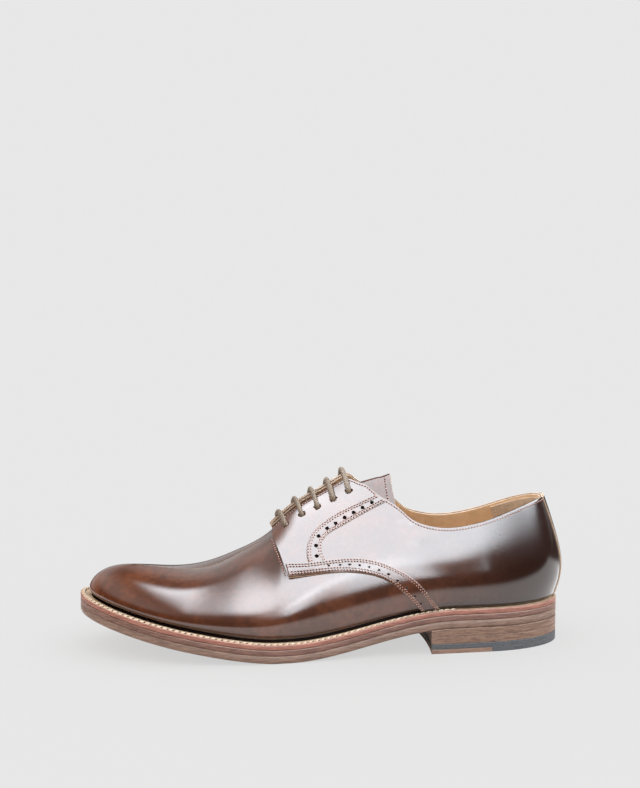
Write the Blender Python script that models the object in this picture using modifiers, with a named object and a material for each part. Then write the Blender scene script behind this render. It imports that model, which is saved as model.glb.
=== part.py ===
"""Plain toe derby, left shoe: welted double sole, stacked heel, open-laced upper, tongue and lace.

Stations run along the shoe in millimetres from the back of the heel (0) to the toe tip. The toe points
to -X, the outer (lateral) side to -Y, and the ground is Z = 0. Tables are in millimetres.
"""

import functools
import math

import bmesh
import bpy
import numpy as np
from mathutils import Matrix, Vector

MM = 0.001
GAP = 0.3

# Driving dimensions
SOLE_LENGTH = 303.0
MIDDLE_STATION = 149.6
SEAT_HEIGHT = 16.0
SEAT_FRONT = 68.0
BALL_BACK = 173.0
BALL_FRONT = 183.0
TOE_SPRING = 23.5
SPRING_POWER = 1.42
OUTSOLE_THICKNESS = 4.9
MIDSOLE_THICKNESS = 3.4
WELT_THICKNESS = 3.0
INSOLE_THICKNESS = 2.6
WELT_LEDGE = 4.6
EDGE_BEVEL = 1.0
BREAST_STATION = 84.8
BREAST_HOLLOW = 3.0
BREAST_SLANT = 3.9
TIP_STATION = 45.0
TIP_HEIGHT = 2.8
RUBBER_HEIGHT = 6.2
LIFT_HEIGHT = 10.9

# Rounding of the plan outline at each end: how far it reaches and how square it is
TOE_ROUND = 64.0
TOE_SQUARE = 2.1
HEEL_ROUND = 46.0
HEEL_SQUARE = 2.15

# Leather offsets from the last: the vamp lies on it, the quarters lie on the vamp
VAMP_WALL = 2.0
QUARTER_OUT = 1.9
QUARTER_IN = -0.7
BAND_THICKNESS = 0.8
BACK_STRIP_HALF = 5.6
FLAP_LIFT = 3.2
FLAP_LIFT_STATION = 178.0
FLAP_LIFT_REACH = 20.0

# Throat, eyelets and lace
THROAT_CENTRE = 1.5
EYELET_COUNT = 5
EYELET_FIRST = 172.8
EYELET_STEP = 9.8
EYELET_ACROSS = 14.4
EYELET_TAPER = 0.45
EYELET_LEAN = 3.0
EYELET_RADIUS = 2.3
LACE_RADIUS = 1.4
LACE_OVER = QUARTER_OUT + LACE_RADIUS + 0.4
LACE_UNDER = QUARTER_IN - LACE_RADIUS - 0.6
TONGUE_THICKNESS = 2.0
TONGUE_SQUEEZE = 3.4
TONGUE_SOFTENING = 3
TONGUE_END_CURVE = 8.5
TONGUE_END_START = 118.0
COLLAR_SHEAR = 0.05

# Mesh fineness
SOLE_STEPS = 32
FORM_STEPS = 34
FORM_LEVELS = 11
THROAT_STEPS = 30
PUNCH_SIDES = 12

# How far cutters reach past the shoe, across it, and below the foot of the upper
CUT_SIDE = 80.0
CUT_FOOT = 8.0
PUNCH_DEPTH = 9.0

SIGN = {"lateral": -1.0, "medial": 1.0}


def table(columns, *rows):
    """A table as a dictionary of columns."""
    return dict(zip(columns.split(), np.array(rows, float).T))


# Half-widths of the sole, before its ends are rounded
OUTLINE = table(
    "station lateral medial",
    (0, 30, 31),
    (38, 33.5, 32.5),
    (76, 37, 33),
    (110, 40.5, 31),
    (145, 46.5, 37.5),
    (182, 53, 50),
    (210, 53.5, 53.5),
    (240, 50, 51.5),
    (272, 45, 47),
    (303, 41, 43),
)

# How far the upper stands in from the edge of the sole
INSET = table(
    "station inset",
    (0, 3.3),
    (40, 3.1),
    (80, 3.4),
    (120, 4.8),
    (170, 6.0),
    (230, 6.2),
    (303, 6.6),
)

# Ridge of the last: its height above the ground and its shift to the medial side
RIDGE = table(
    "station height shift",
    (45, 137, 0),
    (80, 134, 1),
    (108, 124.0, 2),
    (131, 111.6, 3.5),
    (150, 98.0, 4),
    (168, 84.5, 4),
    (184, 69.1, 3.5),
    (200, 59.0, 3),
    (216, 51.3, 2.5),
    (232, 48.3, 2),
    (250, 49.8, 2),
    (268, 52.2, 1.5),
)

# Wall of the last from sole to ridge: squareness of its arc, swell on each side, height of the swell
WALL = table(
    "station square lateral medial swell_at",
    (0, 1.95, 5.0, 5.0, 0.22),
    (40, 1.42, 4.4, 4.4, 0.22),
    (80, 1.46, 4.4, 5.0, 0.22),
    (115, 1.74, 3.6, 5.4, 0.24),
    (150, 1.95, 3.0, 4.5, 0.26),
    (185, 2.0, 3.0, 3.5, 0.27),
    (215, 2.1, 2.6, 2.8, 0.28),
    (245, 2.25, 2.2, 2.2, 0.30),
    (275, 2.4, 1.6, 1.6, 0.30),
    (303, 2.5, 1.2, 1.2, 0.30),
)

# Collar line seen from the side, from the top of the facing to the back
COLLAR = table(
    "station height",
    (142.0, 113.4),
    (136.0, 110.4),
    (131.5, 108.3),
    (128.0, 106.4),
    (117.5, 98.4),
    (103.0, 89.2),
    (96.0, 83.0),
    (85.5, 78.6),
    (73.0, 76.9),
    (60.5, 78.0),
    (47.5, 81.0),
    (34.5, 85.4),
    (21.0, 90.0),
    (9.0, 93.0),
    (-10.0, 95.0),
)

# Front edge of the quarter, from its lower corner to the throat
QUARTER_FRONT = table(
    "station height",
    (173.6, 51.4),
    (175.6, 56.6),
    (177.6, 62.6),
    (180.2, 69.5),
    (182.0, 76.0),
    (183.0, 90.0),
)

# Lower edge of the quarter, from its front corner back to the welt
QUARTER_LOWER = table(
    "station height",
    (173.6, 51.4),
    (160.0, 52.6),
    (139.0, 53.7),
    (124.0, 52.0),
    (113.0, 48.4),
    (101.6, 39.9),
    (94.0, 32.0),
    (84.0, 18.0),
)

# Edges of the brogue band: outer edge from collar to front, inner edge from collar to corner, arm to the welt
BAND_OUTER = table(
    "station height",
    (114.0, 99.6),
    (118.1, 97.5),
    (136.8, 89.0),
    (152.3, 80.1),
    (158.6, 74.3),
    (161.3, 68.0),
    (161.6, 62.7),
    (160.9, 59.4),
)
BAND_FRONT = [(175.0, 58.6), (174.6, 56.0)]
BAND_INNER = table(
    "station height",
    (108.5, 95.2),
    (112.2, 93.4),
    (126.3, 86.7),
    (142.3, 78.5),
    (150.3, 73.3),
    (152.5, 68.5),
    (151.9, 64.2),
    (150.0, 60.6),
)
BAND_ARM = table(
    "station height",
    (150.0, 60.6),
    (138.3, 61.5),
    (127.7, 61.2),
    (116.4, 58.8),
    (105.5, 54.4),
    (93.7, 47.0),
    (86.1, 38.6),
    (79.5, 29.3),
    (72.5, 18.0),
)

# Rear edge of the vamp, hidden under the quarters
VAMP_REAR = table(
    "station height",
    (179.5, 100.0),
    (178.5, 77.0),
    (173.0, 66.5),
    (160.0, 62.0),
    (140.0, 61.0),
    (120.0, 58.0),
    (100.0, 48.0),
    (84.0, 32.0),
    (76.0, 18.0),
)

# Half-width of the opening between the facings
THROAT = table(
    "station half",
    (187.0, 12.5),
    (183.0, 9.6),
    (179.5, 7.0),
    (175.0, 6.2),
    (165.0, 5.8),
    (150.0, 5.3),
    (138.0, 5.3),
    (134.0, 6.0),
    (131.0, 8.0),
    (128.5, 10.0),
    (125.0, 12.0),
    (121.0, 13.4),
    (115.0, 14.0),
)

# Tongue: depth under the last, half-width along the surface, and how far its top drops
TONGUE = table(
    "station depth half drop",
    (101, 6.6, 27.0, 6.6),
    (106, 6.6, 26.8, 6.6),
    (112, 6.6, 26.5, 6.4),
    (118, 6.6, 25.8, 5.6),
    (124, 6.6, 25.0, 4.3),
    (136, 6.8, 23.0, 1.6),
    (146, 6.8, 21.0, 0.3),
    (156, 6.2, 19.0, 0.0),
    (166, 5.6, 17.5, 0.0),
    (175, 5.0, 15.5, 0.0),
    (183, 4.4, 14.0, 0.0),
    (187, 4.6, 13.5, 0.0),
)

# Colour and roughness of each leather, rubber and cord
LOOKS = {
    "calf": ((0.085, 0.040, 0.024), 0.28),
    "tongue": ((0.075, 0.036, 0.022), 0.35),
    "edge": ((0.150, 0.085, 0.062), 0.45),
    "outsole": ((0.130, 0.090, 0.072), 0.50),
    "welt": ((0.300, 0.150, 0.085), 0.50),
    "lift": ((0.180, 0.100, 0.066), 0.48),
    "rubber": ((0.055, 0.052, 0.054), 0.65),
    "insole": ((0.420, 0.230, 0.100), 0.55),
    "cord": ((0.300, 0.230, 0.175), 0.65),
}


@functools.lru_cache(maxsize=None)
def spline_bends(x, y):
    """Second derivatives of the natural cubic spline through (x, y)."""
    step = np.diff(x)
    count = len(x)
    system = np.eye(count)
    right = np.zeros(count)
    for i in range(1, count - 1):
        system[i, i - 1 : i + 2] = step[i - 1], 2 * (step[i - 1] + step[i]), step[i]
        right[i] = 6 * ((y[i + 1] - y[i]) / step[i] - (y[i] - y[i - 1]) / step[i - 1])
    return np.linalg.solve(system, right)


def spline(x, y, at):
    """Natural cubic spline through (x, y), held level outside its rows."""
    order = np.argsort(x)
    x = x[order]
    y = y[order]
    at = np.clip(at, x[0], x[-1])
    step = np.diff(x)
    bend = spline_bends(tuple(x), tuple(y))
    i = np.clip(np.searchsorted(x, at) - 1, 0, len(x) - 2)
    a = (x[i + 1] - at) / step[i]
    b = (at - x[i]) / step[i]
    cubic = (a**3 - a) * bend[i] + (b**3 - b) * bend[i + 1]
    return a * y[i] + b * y[i + 1] + cubic * step[i] ** 2 / 6


def column(rows, name, station):
    """One column of a table, smoothed between its rows."""
    return spline(rows["station"], rows[name], station)


def traced(rows, per_row=3):
    """A smooth line through a table of (station, height) rows, as a list of points."""
    points = np.stack([rows["station"], rows["height"]], -1)
    reach = np.concatenate([[0], np.cumsum(np.linalg.norm(np.diff(points, axis=0), axis=1))])
    at = np.interp(np.arange((len(points) - 1) * per_row + 1) / per_row, np.arange(len(points)), reach)
    return list(zip(spline(reach, points[:, 0], at), spline(reach, points[:, 1], at)))


def rounded_end(distance, reach, square):
    """Share of the full width at a distance from a rounded end."""
    share = np.clip(1 - distance / reach, 0, 1)
    return (1 - share**square) ** (1 / square)


def half_width(side, station):
    """Half-width of the sole at a station."""
    toe = rounded_end(SOLE_LENGTH - station, TOE_ROUND, TOE_SQUARE)
    heel = rounded_end(station, HEEL_ROUND, HEEL_SQUARE)
    return column(OUTLINE, side, station) * toe * heel


def station_along(t):
    """Station of a place along one side, t = 0 at the toe tip and 1 at the heel."""
    return SOLE_LENGTH * (1 + np.cos(np.pi * t)) / 2


def place_at(station):
    """Place along one side at a station, the inverse of station_along."""
    return math.acos(2 * station / SOLE_LENGTH - 1) / math.pi


def sole_edge(side, t, inset=0.0):
    """Station, across and outward direction of the sole's edge, moved in by an inset."""
    t = np.asarray(t, float)
    small = 1e-3
    inner = np.clip(t, 2 * small, 1 - 2 * small)
    ahead = station_along(inner + small)
    behind = station_along(inner - small)
    along = ahead - behind
    across = SIGN[side] * (half_width(side, ahead) - half_width(side, behind))
    out = SIGN[side] * np.stack([across, -along], -1)
    out /= np.linalg.norm(out, axis=-1, keepdims=True)
    tips = np.stack([np.where(t < 0.5, 1.0, -1.0), np.zeros_like(t)], -1)
    out = np.where(((t < small) | (t > 1 - small))[..., None], tips, out)
    station = station_along(t) - inset * out[..., 0]
    place = SIGN[side] * half_width(side, station_along(t)) - inset * out[..., 1]
    return station, place, out


def sole_bottom(station):
    """Height of the outsole's underside: seat, arch, flat ball and toe spring."""
    arch = np.clip((BALL_BACK - station) / (BALL_BACK - SEAT_FRONT), 0, 1)
    spring = np.clip((station - BALL_FRONT) / (SOLE_LENGTH - BALL_FRONT), 0, None)
    return SEAT_HEIGHT * (3 * arch**2 - 2 * arch**3) + TOE_SPRING * spring**SPRING_POWER


def midsole_bottom(station):
    return sole_bottom(station) + OUTSOLE_THICKNESS + GAP


def welt_bottom(station):
    return midsole_bottom(station) + MIDSOLE_THICKNESS + GAP


def upper_bottom(station):
    return welt_bottom(station) + WELT_THICKNESS + GAP


def last_point(side, t, q, lifted=False):
    """Point (station, across, height) of the last: t along the side, q = 0 at the sole, 1 at the ridge."""
    t, q = np.broadcast_arrays(np.asarray(t, float), np.asarray(q, float))
    inset = column(INSET, "inset", station_along(t))
    foot, foot_across, out = sole_edge(side, t, inset)
    back = INSET["inset"][0]
    front = SOLE_LENGTH - INSET["inset"][-1]
    share = np.clip((foot - back) / (front - back), 0, 1)
    ridge = RIDGE["station"][0] + share * (RIDGE["station"][-1] - RIDGE["station"][0])
    ridge_height = column(RIDGE, "height", ridge)
    if lifted:
        from_middle = (ridge - FLAP_LIFT_STATION) / FLAP_LIFT_REACH
        ridge_height = ridge_height + FLAP_LIFT * np.exp(-(from_middle**2))
    ridge_across = column(RIDGE, "shift", ridge)
    square = column(WALL, "square", foot)
    angle = q * math.pi / 2
    radius = (np.cos(angle) ** square + np.sin(angle) ** square) ** (-1 / square)
    near = radius * np.cos(angle)
    rise = radius * np.sin(angle)
    swell = rise / column(WALL, "swell_at", foot)
    swell = column(WALL, side, foot) * swell**2 * np.exp(2 - 2 * swell)
    base = upper_bottom(foot)
    return np.stack(
        [
            ridge + (foot - ridge) * near + swell * out[..., 0],
            ridge_across + (foot_across - ridge_across) * near + swell * out[..., 1],
            base + (ridge_height - base) * rise,
        ],
        -1,
    )


def last_normal(side, t, q, lifted=False):
    """Outward direction of the last at a point."""
    small = 1e-3
    t = np.clip(t, small, 1 - small)
    q = np.clip(q, small, 1 - small)
    along = last_point(side, t + small, q, lifted) - last_point(side, t - small, q, lifted)
    up = last_point(side, t, q + small, lifted) - last_point(side, t, q - small, lifted)
    normal = np.cross(up, along) * -SIGN[side]
    return normal / np.linalg.norm(normal, axis=-1, keepdims=True)


def last_at(station, across, lifted=False):
    """Point and direction of the upper part of the last at a station and a place across."""
    shift = float(column(RIDGE, "shift", station))
    side = "lateral" if across < shift else "medial"
    span = RIDGE["station"][-1] - RIDGE["station"][0]
    foot = SOLE_LENGTH * np.clip((station - RIDGE["station"][0]) / span, 0.02, 0.98)
    share = min(abs(across - shift) / 40, 0.9)
    guess = np.array([place_at(foot), 1 - share * 0.6])
    goal = np.array([station, across])
    small = 1e-5
    for _ in range(24):
        here = last_point(side, guess[0], guess[1], lifted)[:2]
        by_t = (last_point(side, guess[0] + small, guess[1], lifted)[:2] - here) / small
        by_q = (here - last_point(side, guess[0], guess[1] - small, lifted)[:2]) / small
        move = np.linalg.solve(np.stack([by_t, by_q], -1), goal - here)
        guess = np.clip(guess + np.clip(move, -0.08, 0.08), [0.01, 0.05], [0.99, 1.0])
    return last_point(side, *guess, lifted), last_normal(side, *guess, lifted)


def to_world(points):
    """Turn (station, across, height) in millimetres into metres in the shoe's frame."""
    points = np.asarray(points, float)
    return np.stack([MIDDLE_STATION - points[..., 0], points[..., 1], points[..., 2]], -1) * MM


def new_object(name, mesh, collection):
    obj = bpy.data.objects.new(name, mesh)
    collection.objects.link(obj)
    return obj


def mesh_from(name, points, faces):
    """A mesh with shared points, facing out."""
    mesh = bpy.data.meshes.new(name)
    mesh.from_pydata([tuple(point) for point in to_world(points)], [], faces)
    work = bmesh.new()
    work.from_mesh(mesh)
    bmesh.ops.recalc_face_normals(work, faces=work.faces)
    work.to_mesh(mesh)
    work.free()
    return mesh


def settle(obj):
    """Replace an object's mesh by what its modifiers make of it."""
    graph = bpy.context.evaluated_depsgraph_get()
    result = bpy.data.meshes.new_from_object(obj.evaluated_get(graph))
    obj.modifiers.clear()
    obj.data = result


def carve(target, cutter, operation):
    """Cut, join or keep what two solids share."""
    modifier = target.modifiers.new(operation.title(), "BOOLEAN")
    modifier.operation = operation
    modifier.object = cutter
    settle(target)


def as_cutter(obj):
    obj.hide_render = True
    obj.display_type = "WIRE"
    return obj


def outline_loop(steps, inset, height, front=0.0):
    """Points round the sole, lateral side from the front to the heel and back up the medial side."""
    t = front + (1 - front) * np.linspace(0, 1, steps + 1)
    if front == 0:
        t = np.sort(np.append(t, [place_at(BALL_BACK), place_at(BALL_FRONT)]))
    rows = []
    for side, places in (("lateral", t), ("medial", t[::-1])):
        depth = column(INSET, "inset", station_along(places)) + inset[1] if inset[0] == "upper" else inset[1]
        station, across, _ = sole_edge(side, places, depth)
        rows.append(np.stack([station, across, height(station)], -1))
    lateral, medial = rows
    last = None if front > 0 else -1
    return np.concatenate([lateral, medial[1:last]])


def loft(loops, ring=False):
    """Faces between loops of equal count; a solid is capped across the shoe, a ring closes on itself."""
    count = len(loops[0])
    steps = count // 2
    faces = []
    pairs = [(i, (i + 1) % len(loops)) for i in range(len(loops) if ring else len(loops) - 1)]
    for low, high in pairs:
        for i in range(count):
            j = (i + 1) % count
            faces.append((low * count + i, low * count + j, high * count + j, high * count + i))
    if not ring:
        for level in (0, len(loops) - 1):
            start = level * count
            for i in range(steps):
                across = [i, i + 1, (2 * steps - i - 1) % count, (2 * steps - i) % count]
                faces.append([start + k for k in dict.fromkeys(across)])
    return np.concatenate(loops), faces


def flat_solid(name, outline, low, high, collection):
    """A flat outline of (x, y) points in millimetres, thickened from one level to another."""
    curve = bpy.data.curves.new(name, "CURVE")
    curve.dimensions = "2D"
    curve.fill_mode = "BOTH"
    curve.extrude = (high - low) / 2 * MM
    path = curve.splines.new("POLY")
    path.points.add(len(outline) - 1)
    path.use_cyclic_u = True
    for point, (x, y) in zip(path.points, outline):
        point.co = (x * MM, y * MM, 0, 1)
    flat = new_object(name, curve, collection)
    graph = bpy.context.evaluated_depsgraph_get()
    mesh = bpy.data.meshes.new_from_object(flat.evaluated_get(graph))
    bpy.data.objects.remove(flat)
    mesh.transform(Matrix.Translation((0, 0, (low + high) / 2 * MM)))
    weld(mesh)
    return mesh


def side_prism(name, outline, reach, collection, shear=0.0):
    """A solid cut-out of a side-view outline, reaching from one place across the shoe to another."""
    flat = [(MIDDLE_STATION - station, height) for station, height in outline]
    mesh = flat_solid(name, flat, -reach[1], -reach[0], collection)
    mesh.transform(Matrix.Rotation(math.pi / 2, 4, "X"))
    lean = Matrix.Identity(4)
    lean[2][1] = -shear
    mesh.transform(lean)
    return as_cutter(new_object(name, mesh, collection))


def plan_prism(name, outline, heights, collection):
    """A solid cut-out of a plan outline given as (station, across) points, between two heights."""
    flat = [(MIDDLE_STATION - station, across) for station, across in outline]
    mesh = flat_solid(name, flat, *heights, collection)
    return as_cutter(new_object(name, mesh, collection))


def weld(mesh):
    work = bmesh.new()
    work.from_mesh(mesh)
    bmesh.ops.remove_doubles(work, verts=work.verts, dist=0.00001)
    bmesh.ops.recalc_face_normals(work, faces=work.faces)
    work.to_mesh(mesh)
    work.free()


def form(name, offset, collection, foot=0.0, lifted=False):
    """The last as a solid, swollen by an offset, with its foot lengthened downward."""
    t = np.linspace(0, 1, FORM_STEPS + 1)
    q = np.linspace(0, 1, FORM_LEVELS + 1)
    columns = [("lateral", place) for place in t] + [("medial", place) for place in t[-2:0:-1]]
    points = []
    for side, place in columns:
        wall = last_point(side, place, q[:-1], lifted) + offset * last_normal(side, place, q[:-1], lifted)
        wall[0] = last_point(side, place, 0.0, lifted)
        wall[0, :2] += offset * flat_direction(side, place)
        wall[0, 2] -= foot
        points.append(wall)
    ridge = []
    for place in t:
        top = last_point("lateral", place, 1.0, lifted)
        spread = last_normal("lateral", place, 1.0, lifted) + last_normal("medial", place, 1.0, lifted)
        ridge.append(top + offset * spread / np.linalg.norm(spread))
    count = len(columns)
    levels = FORM_LEVELS
    everything = np.concatenate(points + [np.array(ridge)])

    def index(i, level):
        i = i % count
        if level < levels:
            return i * levels + level
        return count * levels + (i if i <= FORM_STEPS else count - i)

    faces = []
    for i in range(count):
        for level in range(levels):
            corner = [index(i, level), index(i + 1, level), index(i + 1, level + 1), index(i, level + 1)]
            faces.append(corner)
    for i in range(FORM_STEPS):
        base = [index(i, 0), index(i + 1, 0), index(count - i - 1, 0), index(count - i, 0)]
        faces.append(list(dict.fromkeys(base)))
    return as_cutter(new_object(name, mesh_from(name, everything, faces), collection))


def flat_direction(side, place):
    """Outward direction of the sole's edge in plan."""
    return sole_edge(side, np.asarray(place))[2]


def leather(name, outer, inner, collection, lifted=False):
    """A leather shell between two offsets of the last, open underneath."""
    shell = form(name, outer, collection, lifted=lifted)
    core = form(name + "_core", inner, collection, foot=CUT_FOOT, lifted=lifted)
    carve(shell, core, "DIFFERENCE")
    return shell


def sole_pieces(parts):
    """Outsole, midsole, welt and insole."""
    bevel = EDGE_BEVEL
    outsole = [
        outline_loop(SOLE_STEPS, ("sole", bevel), sole_bottom),
        outline_loop(SOLE_STEPS, ("sole", 0.0), lambda s: sole_bottom(s) + bevel),
        outline_loop(SOLE_STEPS, ("sole", 0.0), lambda s: sole_bottom(s) + OUTSOLE_THICKNESS),
    ]
    midsole = [
        outline_loop(SOLE_STEPS, ("sole", 0.0), midsole_bottom),
        outline_loop(SOLE_STEPS, ("sole", 0.0), lambda s: midsole_bottom(s) + MIDSOLE_THICKNESS),
    ]
    welt = [
        outline_loop(SOLE_STEPS, ("sole", 0.0), welt_bottom),
        outline_loop(SOLE_STEPS, ("sole", 0.0), lambda s: welt_bottom(s) + WELT_THICKNESS * 0.8),
        outline_loop(SOLE_STEPS, ("sole", 0.6), lambda s: welt_bottom(s) + WELT_THICKNESS),
        outline_loop(SOLE_STEPS, ("upper", WELT_LEDGE), lambda s: welt_bottom(s) + WELT_THICKNESS),
        outline_loop(SOLE_STEPS, ("upper", WELT_LEDGE), welt_bottom),
    ]
    insole = [
        outline_loop(SOLE_STEPS, ("upper", WELT_LEDGE + GAP), welt_bottom),
        outline_loop(SOLE_STEPS, ("upper", WELT_LEDGE + GAP), lambda s: welt_bottom(s) + INSOLE_THICKNESS),
    ]
    new_object("outsole", mesh_from("outsole", *loft(outsole)), parts)
    new_object("midsole", mesh_from("midsole", *loft(midsole)), parts)
    new_object("welt", mesh_from("welt", *loft(welt, ring=True)), parts)
    new_object("insole", mesh_from("insole", *loft(insole)), parts)


def heel_block(name, low, high, collection):
    """One layer of the heel before its front is trimmed."""
    front = place_at(BREAST_STATION + 12)
    loops = [
        outline_loop(SOLE_STEPS // 2, ("sole", 0.0), low, front),
        outline_loop(SOLE_STEPS // 2, ("sole", 0.0), high, front),
    ]
    return new_object(name, mesh_from(name, *loft(loops)), collection)


def level(height):
    return lambda station: np.full_like(station, height)


def heel_pieces(parts, cutters):
    """Stacked lifts, rubber top piece and leather tip, with a hollowed breast."""
    reach = np.linspace(-60, 60, 13)
    hollow = BREAST_HOLLOW * (1 - (reach / 40) ** 2)
    breast = list(zip(BREAST_STATION - hollow + BREAST_SLANT * (reach / 40 + 0.8), reach))
    behind = plan_prism("breast", breast + [(-20, 60), (-20, -60)], (-10, 40), cutters)
    lifts = {
        "heel_lift_upper": (level(LIFT_HEIGHT + GAP), lambda s: sole_bottom(s) - GAP),
        "heel_lift_lower": (level(RUBBER_HEIGHT + GAP), level(LIFT_HEIGHT)),
        "heel_top_piece": (level(0.0), level(RUBBER_HEIGHT)),
        "heel_tip": (level(0.0), level(TIP_HEIGHT)),
    }
    for name, (low, high) in lifts.items():
        block = heel_block(name, low, high, parts)
        carve(block, behind, "INTERSECT")
    step = TIP_HEIGHT + GAP
    notch = [(TIP_STATION, -10), (TIP_STATION, step), (150, step), (150, -10)]
    across = (-CUT_SIDE, CUT_SIDE)
    carve(bpy.data.objects["heel_top_piece"], side_prism("notch", notch, across, cutters), "DIFFERENCE")
    front = [(TIP_STATION + GAP, -10), (TIP_STATION + GAP, 20), (150, 20), (150, -10)]
    carve(bpy.data.objects["heel_tip"], side_prism("tip_front", front, across, cutters), "INTERSECT")


def throat_outline():
    """Plan outline of the opening between the facings."""
    station = np.linspace(THROAT["station"].max(), THROAT["station"].min(), THROAT_STEPS)
    half = column(THROAT, "half", station)
    lateral = [(s, THROAT_CENTRE - h) for s, h in zip(station, half)]
    medial = [(s, THROAT_CENTRE + h) for s, h in zip(station, half)]
    return lateral + medial[::-1]


def eyelet_places(side):
    first = EYELET_FIRST if side == "lateral" else EYELET_FIRST + EYELET_LEAN
    places = []
    for row in range(EYELET_COUNT):
        across = EYELET_ACROSS - EYELET_TAPER * row
        places.append((first - EYELET_STEP * row, THROAT_CENTRE + SIGN[side] * across))
    return places


def eyelet_cutter(name, side, cutters):
    """Punches for the eyelets of one facing, as one mesh of separate pins."""
    work = bmesh.new()
    for station, across in eyelet_places(side):
        point, normal = last_at(station, across, lifted=True)
        place = Vector(to_world(point))
        turn = Vector((-normal[0], normal[1], normal[2])).to_track_quat("Z", "Y").to_matrix().to_4x4()
        bmesh.ops.create_cone(
            work,
            cap_ends=True,
            segments=PUNCH_SIDES,
            radius1=EYELET_RADIUS * MM,
            radius2=EYELET_RADIUS * MM,
            depth=PUNCH_DEPTH * MM,
            matrix=Matrix.Translation(place) @ turn,
        )
    mesh = bpy.data.meshes.new(name)
    work.to_mesh(mesh)
    work.free()
    return as_cutter(new_object(name, mesh, cutters))


def quarter_outline():
    """Side outline of the quarters, closed behind the heel and under the welt."""
    lower = traced(QUARTER_LOWER)
    front = traced(QUARTER_FRONT)
    collar = traced(COLLAR)
    return lower[::-1] + front[1:] + [(183, 125), (140, 125)] + collar + [(-20, 18)]


def upper_piece(parts, cutters):
    """Vamp shell with the quarters joined on as a step, trimmed at collar, throat and eyelets."""
    upper = leather("upper", 0.0, -VAMP_WALL, cutters)
    front = [(330, 10), (330, 110)] + traced(VAMP_REAR) + [(76, 10)]
    carve(upper, side_prism("vamp_area", front, (-CUT_SIDE, CUT_SIDE), cutters), "INTERSECT")
    quarters = leather("quarters", QUARTER_OUT, QUARTER_IN, cutters, lifted=True)
    across = (-CUT_SIDE, CUT_SIDE)
    area = side_prism("quarter_area", quarter_outline(), across, cutters, COLLAR_SHEAR)
    carve(quarters, area, "INTERSECT")
    carve(quarters, plan_prism("throat", throat_outline(), (60, 140), cutters), "DIFFERENCE")
    for side in SIGN:
        carve(quarters, eyelet_cutter("eyelets_" + side, side, cutters), "DIFFERENCE")
    carve(upper, quarters, "UNION")
    cutters.objects.unlink(upper)
    parts.objects.link(upper)
    upper.hide_render = False
    upper.display_type = "TEXTURED"


def band_outline():
    """Side outline of the brogue band with its arm along the quarter's lower edge."""
    outer = traced(BAND_OUTER)
    lower = traced(QUARTER_LOWER)
    inner = traced(BAND_INNER)
    arm = traced(BAND_ARM)
    return outer + BAND_FRONT + lower + arm[::-1] + inner[::-1][1:]


def overlay(name, cutter, parts, cutters):
    """A thin strip on the quarters, cut from the same last."""
    low = QUARTER_OUT + GAP
    strip = leather(name, low + BAND_THICKNESS, low, cutters, lifted=True)
    carve(strip, cutter, "INTERSECT")
    area = bpy.data.objects["quarter_area"]
    carve(strip, area, "INTERSECT")
    cutters.objects.unlink(strip)
    parts.objects.link(strip)
    strip.hide_render = False
    strip.display_type = "TEXTURED"


def overlays(parts, cutters):
    """Brogue bands on both quarters and the strip over the back seam."""
    outline = band_outline()
    lateral = side_prism("band_area_lateral", outline, (-CUT_SIDE, -6), cutters)
    medial = side_prism("band_area_medial", outline, (12, CUT_SIDE), cutters)
    overlay("brogue_band_lateral", lateral, parts, cutters)
    overlay("brogue_band_medial", medial, parts, cutters)
    half = BACK_STRIP_HALF
    back = plan_prism("back_area", [(-20, -half), (30, -half), (30, half), (-20, half)], (20, 110), cutters)
    overlay("back_strip", back, parts, cutters)


def tongue_piece(parts):
    """Tongue as an open sheet on the last, lowered below the facings and given its thickness."""
    stations = np.linspace(TONGUE["station"].max(), TONGUE["station"].min(), 22)
    shares = np.linspace(-1, 1, 15)
    points = []
    for station in stations:
        half, depth, drop = (float(column(TONGUE, name, station)) for name in ("half", "depth", "drop"))
        slope = (column(RIDGE, "height", station - 1) - column(RIDGE, "height", station + 1)) / 2
        down = np.array([slope, 0.0, 1.0]) / math.hypot(slope, 1.0)
        for share in shares:
            near_end = np.clip((TONGUE_END_START - station) / (TONGUE_END_START - stations[-1]), 0, 1)
            shorter = TONGUE_END_CURVE * (1 - share**2) * near_end
            point, _ = last_at(station + shorter, THROAT_CENTRE + half * share)
            point = point - down * depth
            point[1] -= TONGUE_SQUEEZE * share
            point[2] -= drop
            points.append(point)
    wide = len(shares)
    points = np.array(points).reshape(len(stations), wide, 3)
    for _ in range(TONGUE_SOFTENING):
        points[:, 1:-1, 2] = (points[:, :-2, 2] + 2 * points[:, 1:-1, 2] + points[:, 2:, 2]) / 4
    points = points.reshape(-1, 3)
    faces = []
    for i in range(len(stations) - 1):
        for j in range(wide - 1):
            faces.append((i * wide + j, i * wide + j + 1, (i + 1) * wide + j + 1, (i + 1) * wide + j))
    mesh = bpy.data.meshes.new("tongue")
    mesh.from_pydata([tuple(point) for point in to_world(points)], [], faces)
    tongue = new_object("tongue", mesh, parts)
    thickness = tongue.modifiers.new("Thickness", "SOLIDIFY")
    thickness.thickness = TONGUE_THICKNESS * MM
    thickness.offset = -1
    thickness.use_even_offset = True
    settle(tongue)


def lace_corners():
    """Corners of the lace: down through each eyelet, over the facings, and a hidden run to the next row."""
    path = []
    for row in range(EYELET_COUNT):
        order = ("lateral", "medial") if row % 2 == 0 else ("medial", "lateral")
        start, end = (eyelet_places(side)[row] for side in order)
        point, normal = last_at(*start, lifted=True)
        path.append(point + normal * LACE_UNDER)
        for station, across in np.linspace(start, end, 7):
            point, normal = last_at(station, across, lifted=True)
            path.append(point + normal * LACE_OVER)
        path.append(point + normal * LACE_UNDER)
    return path


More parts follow.
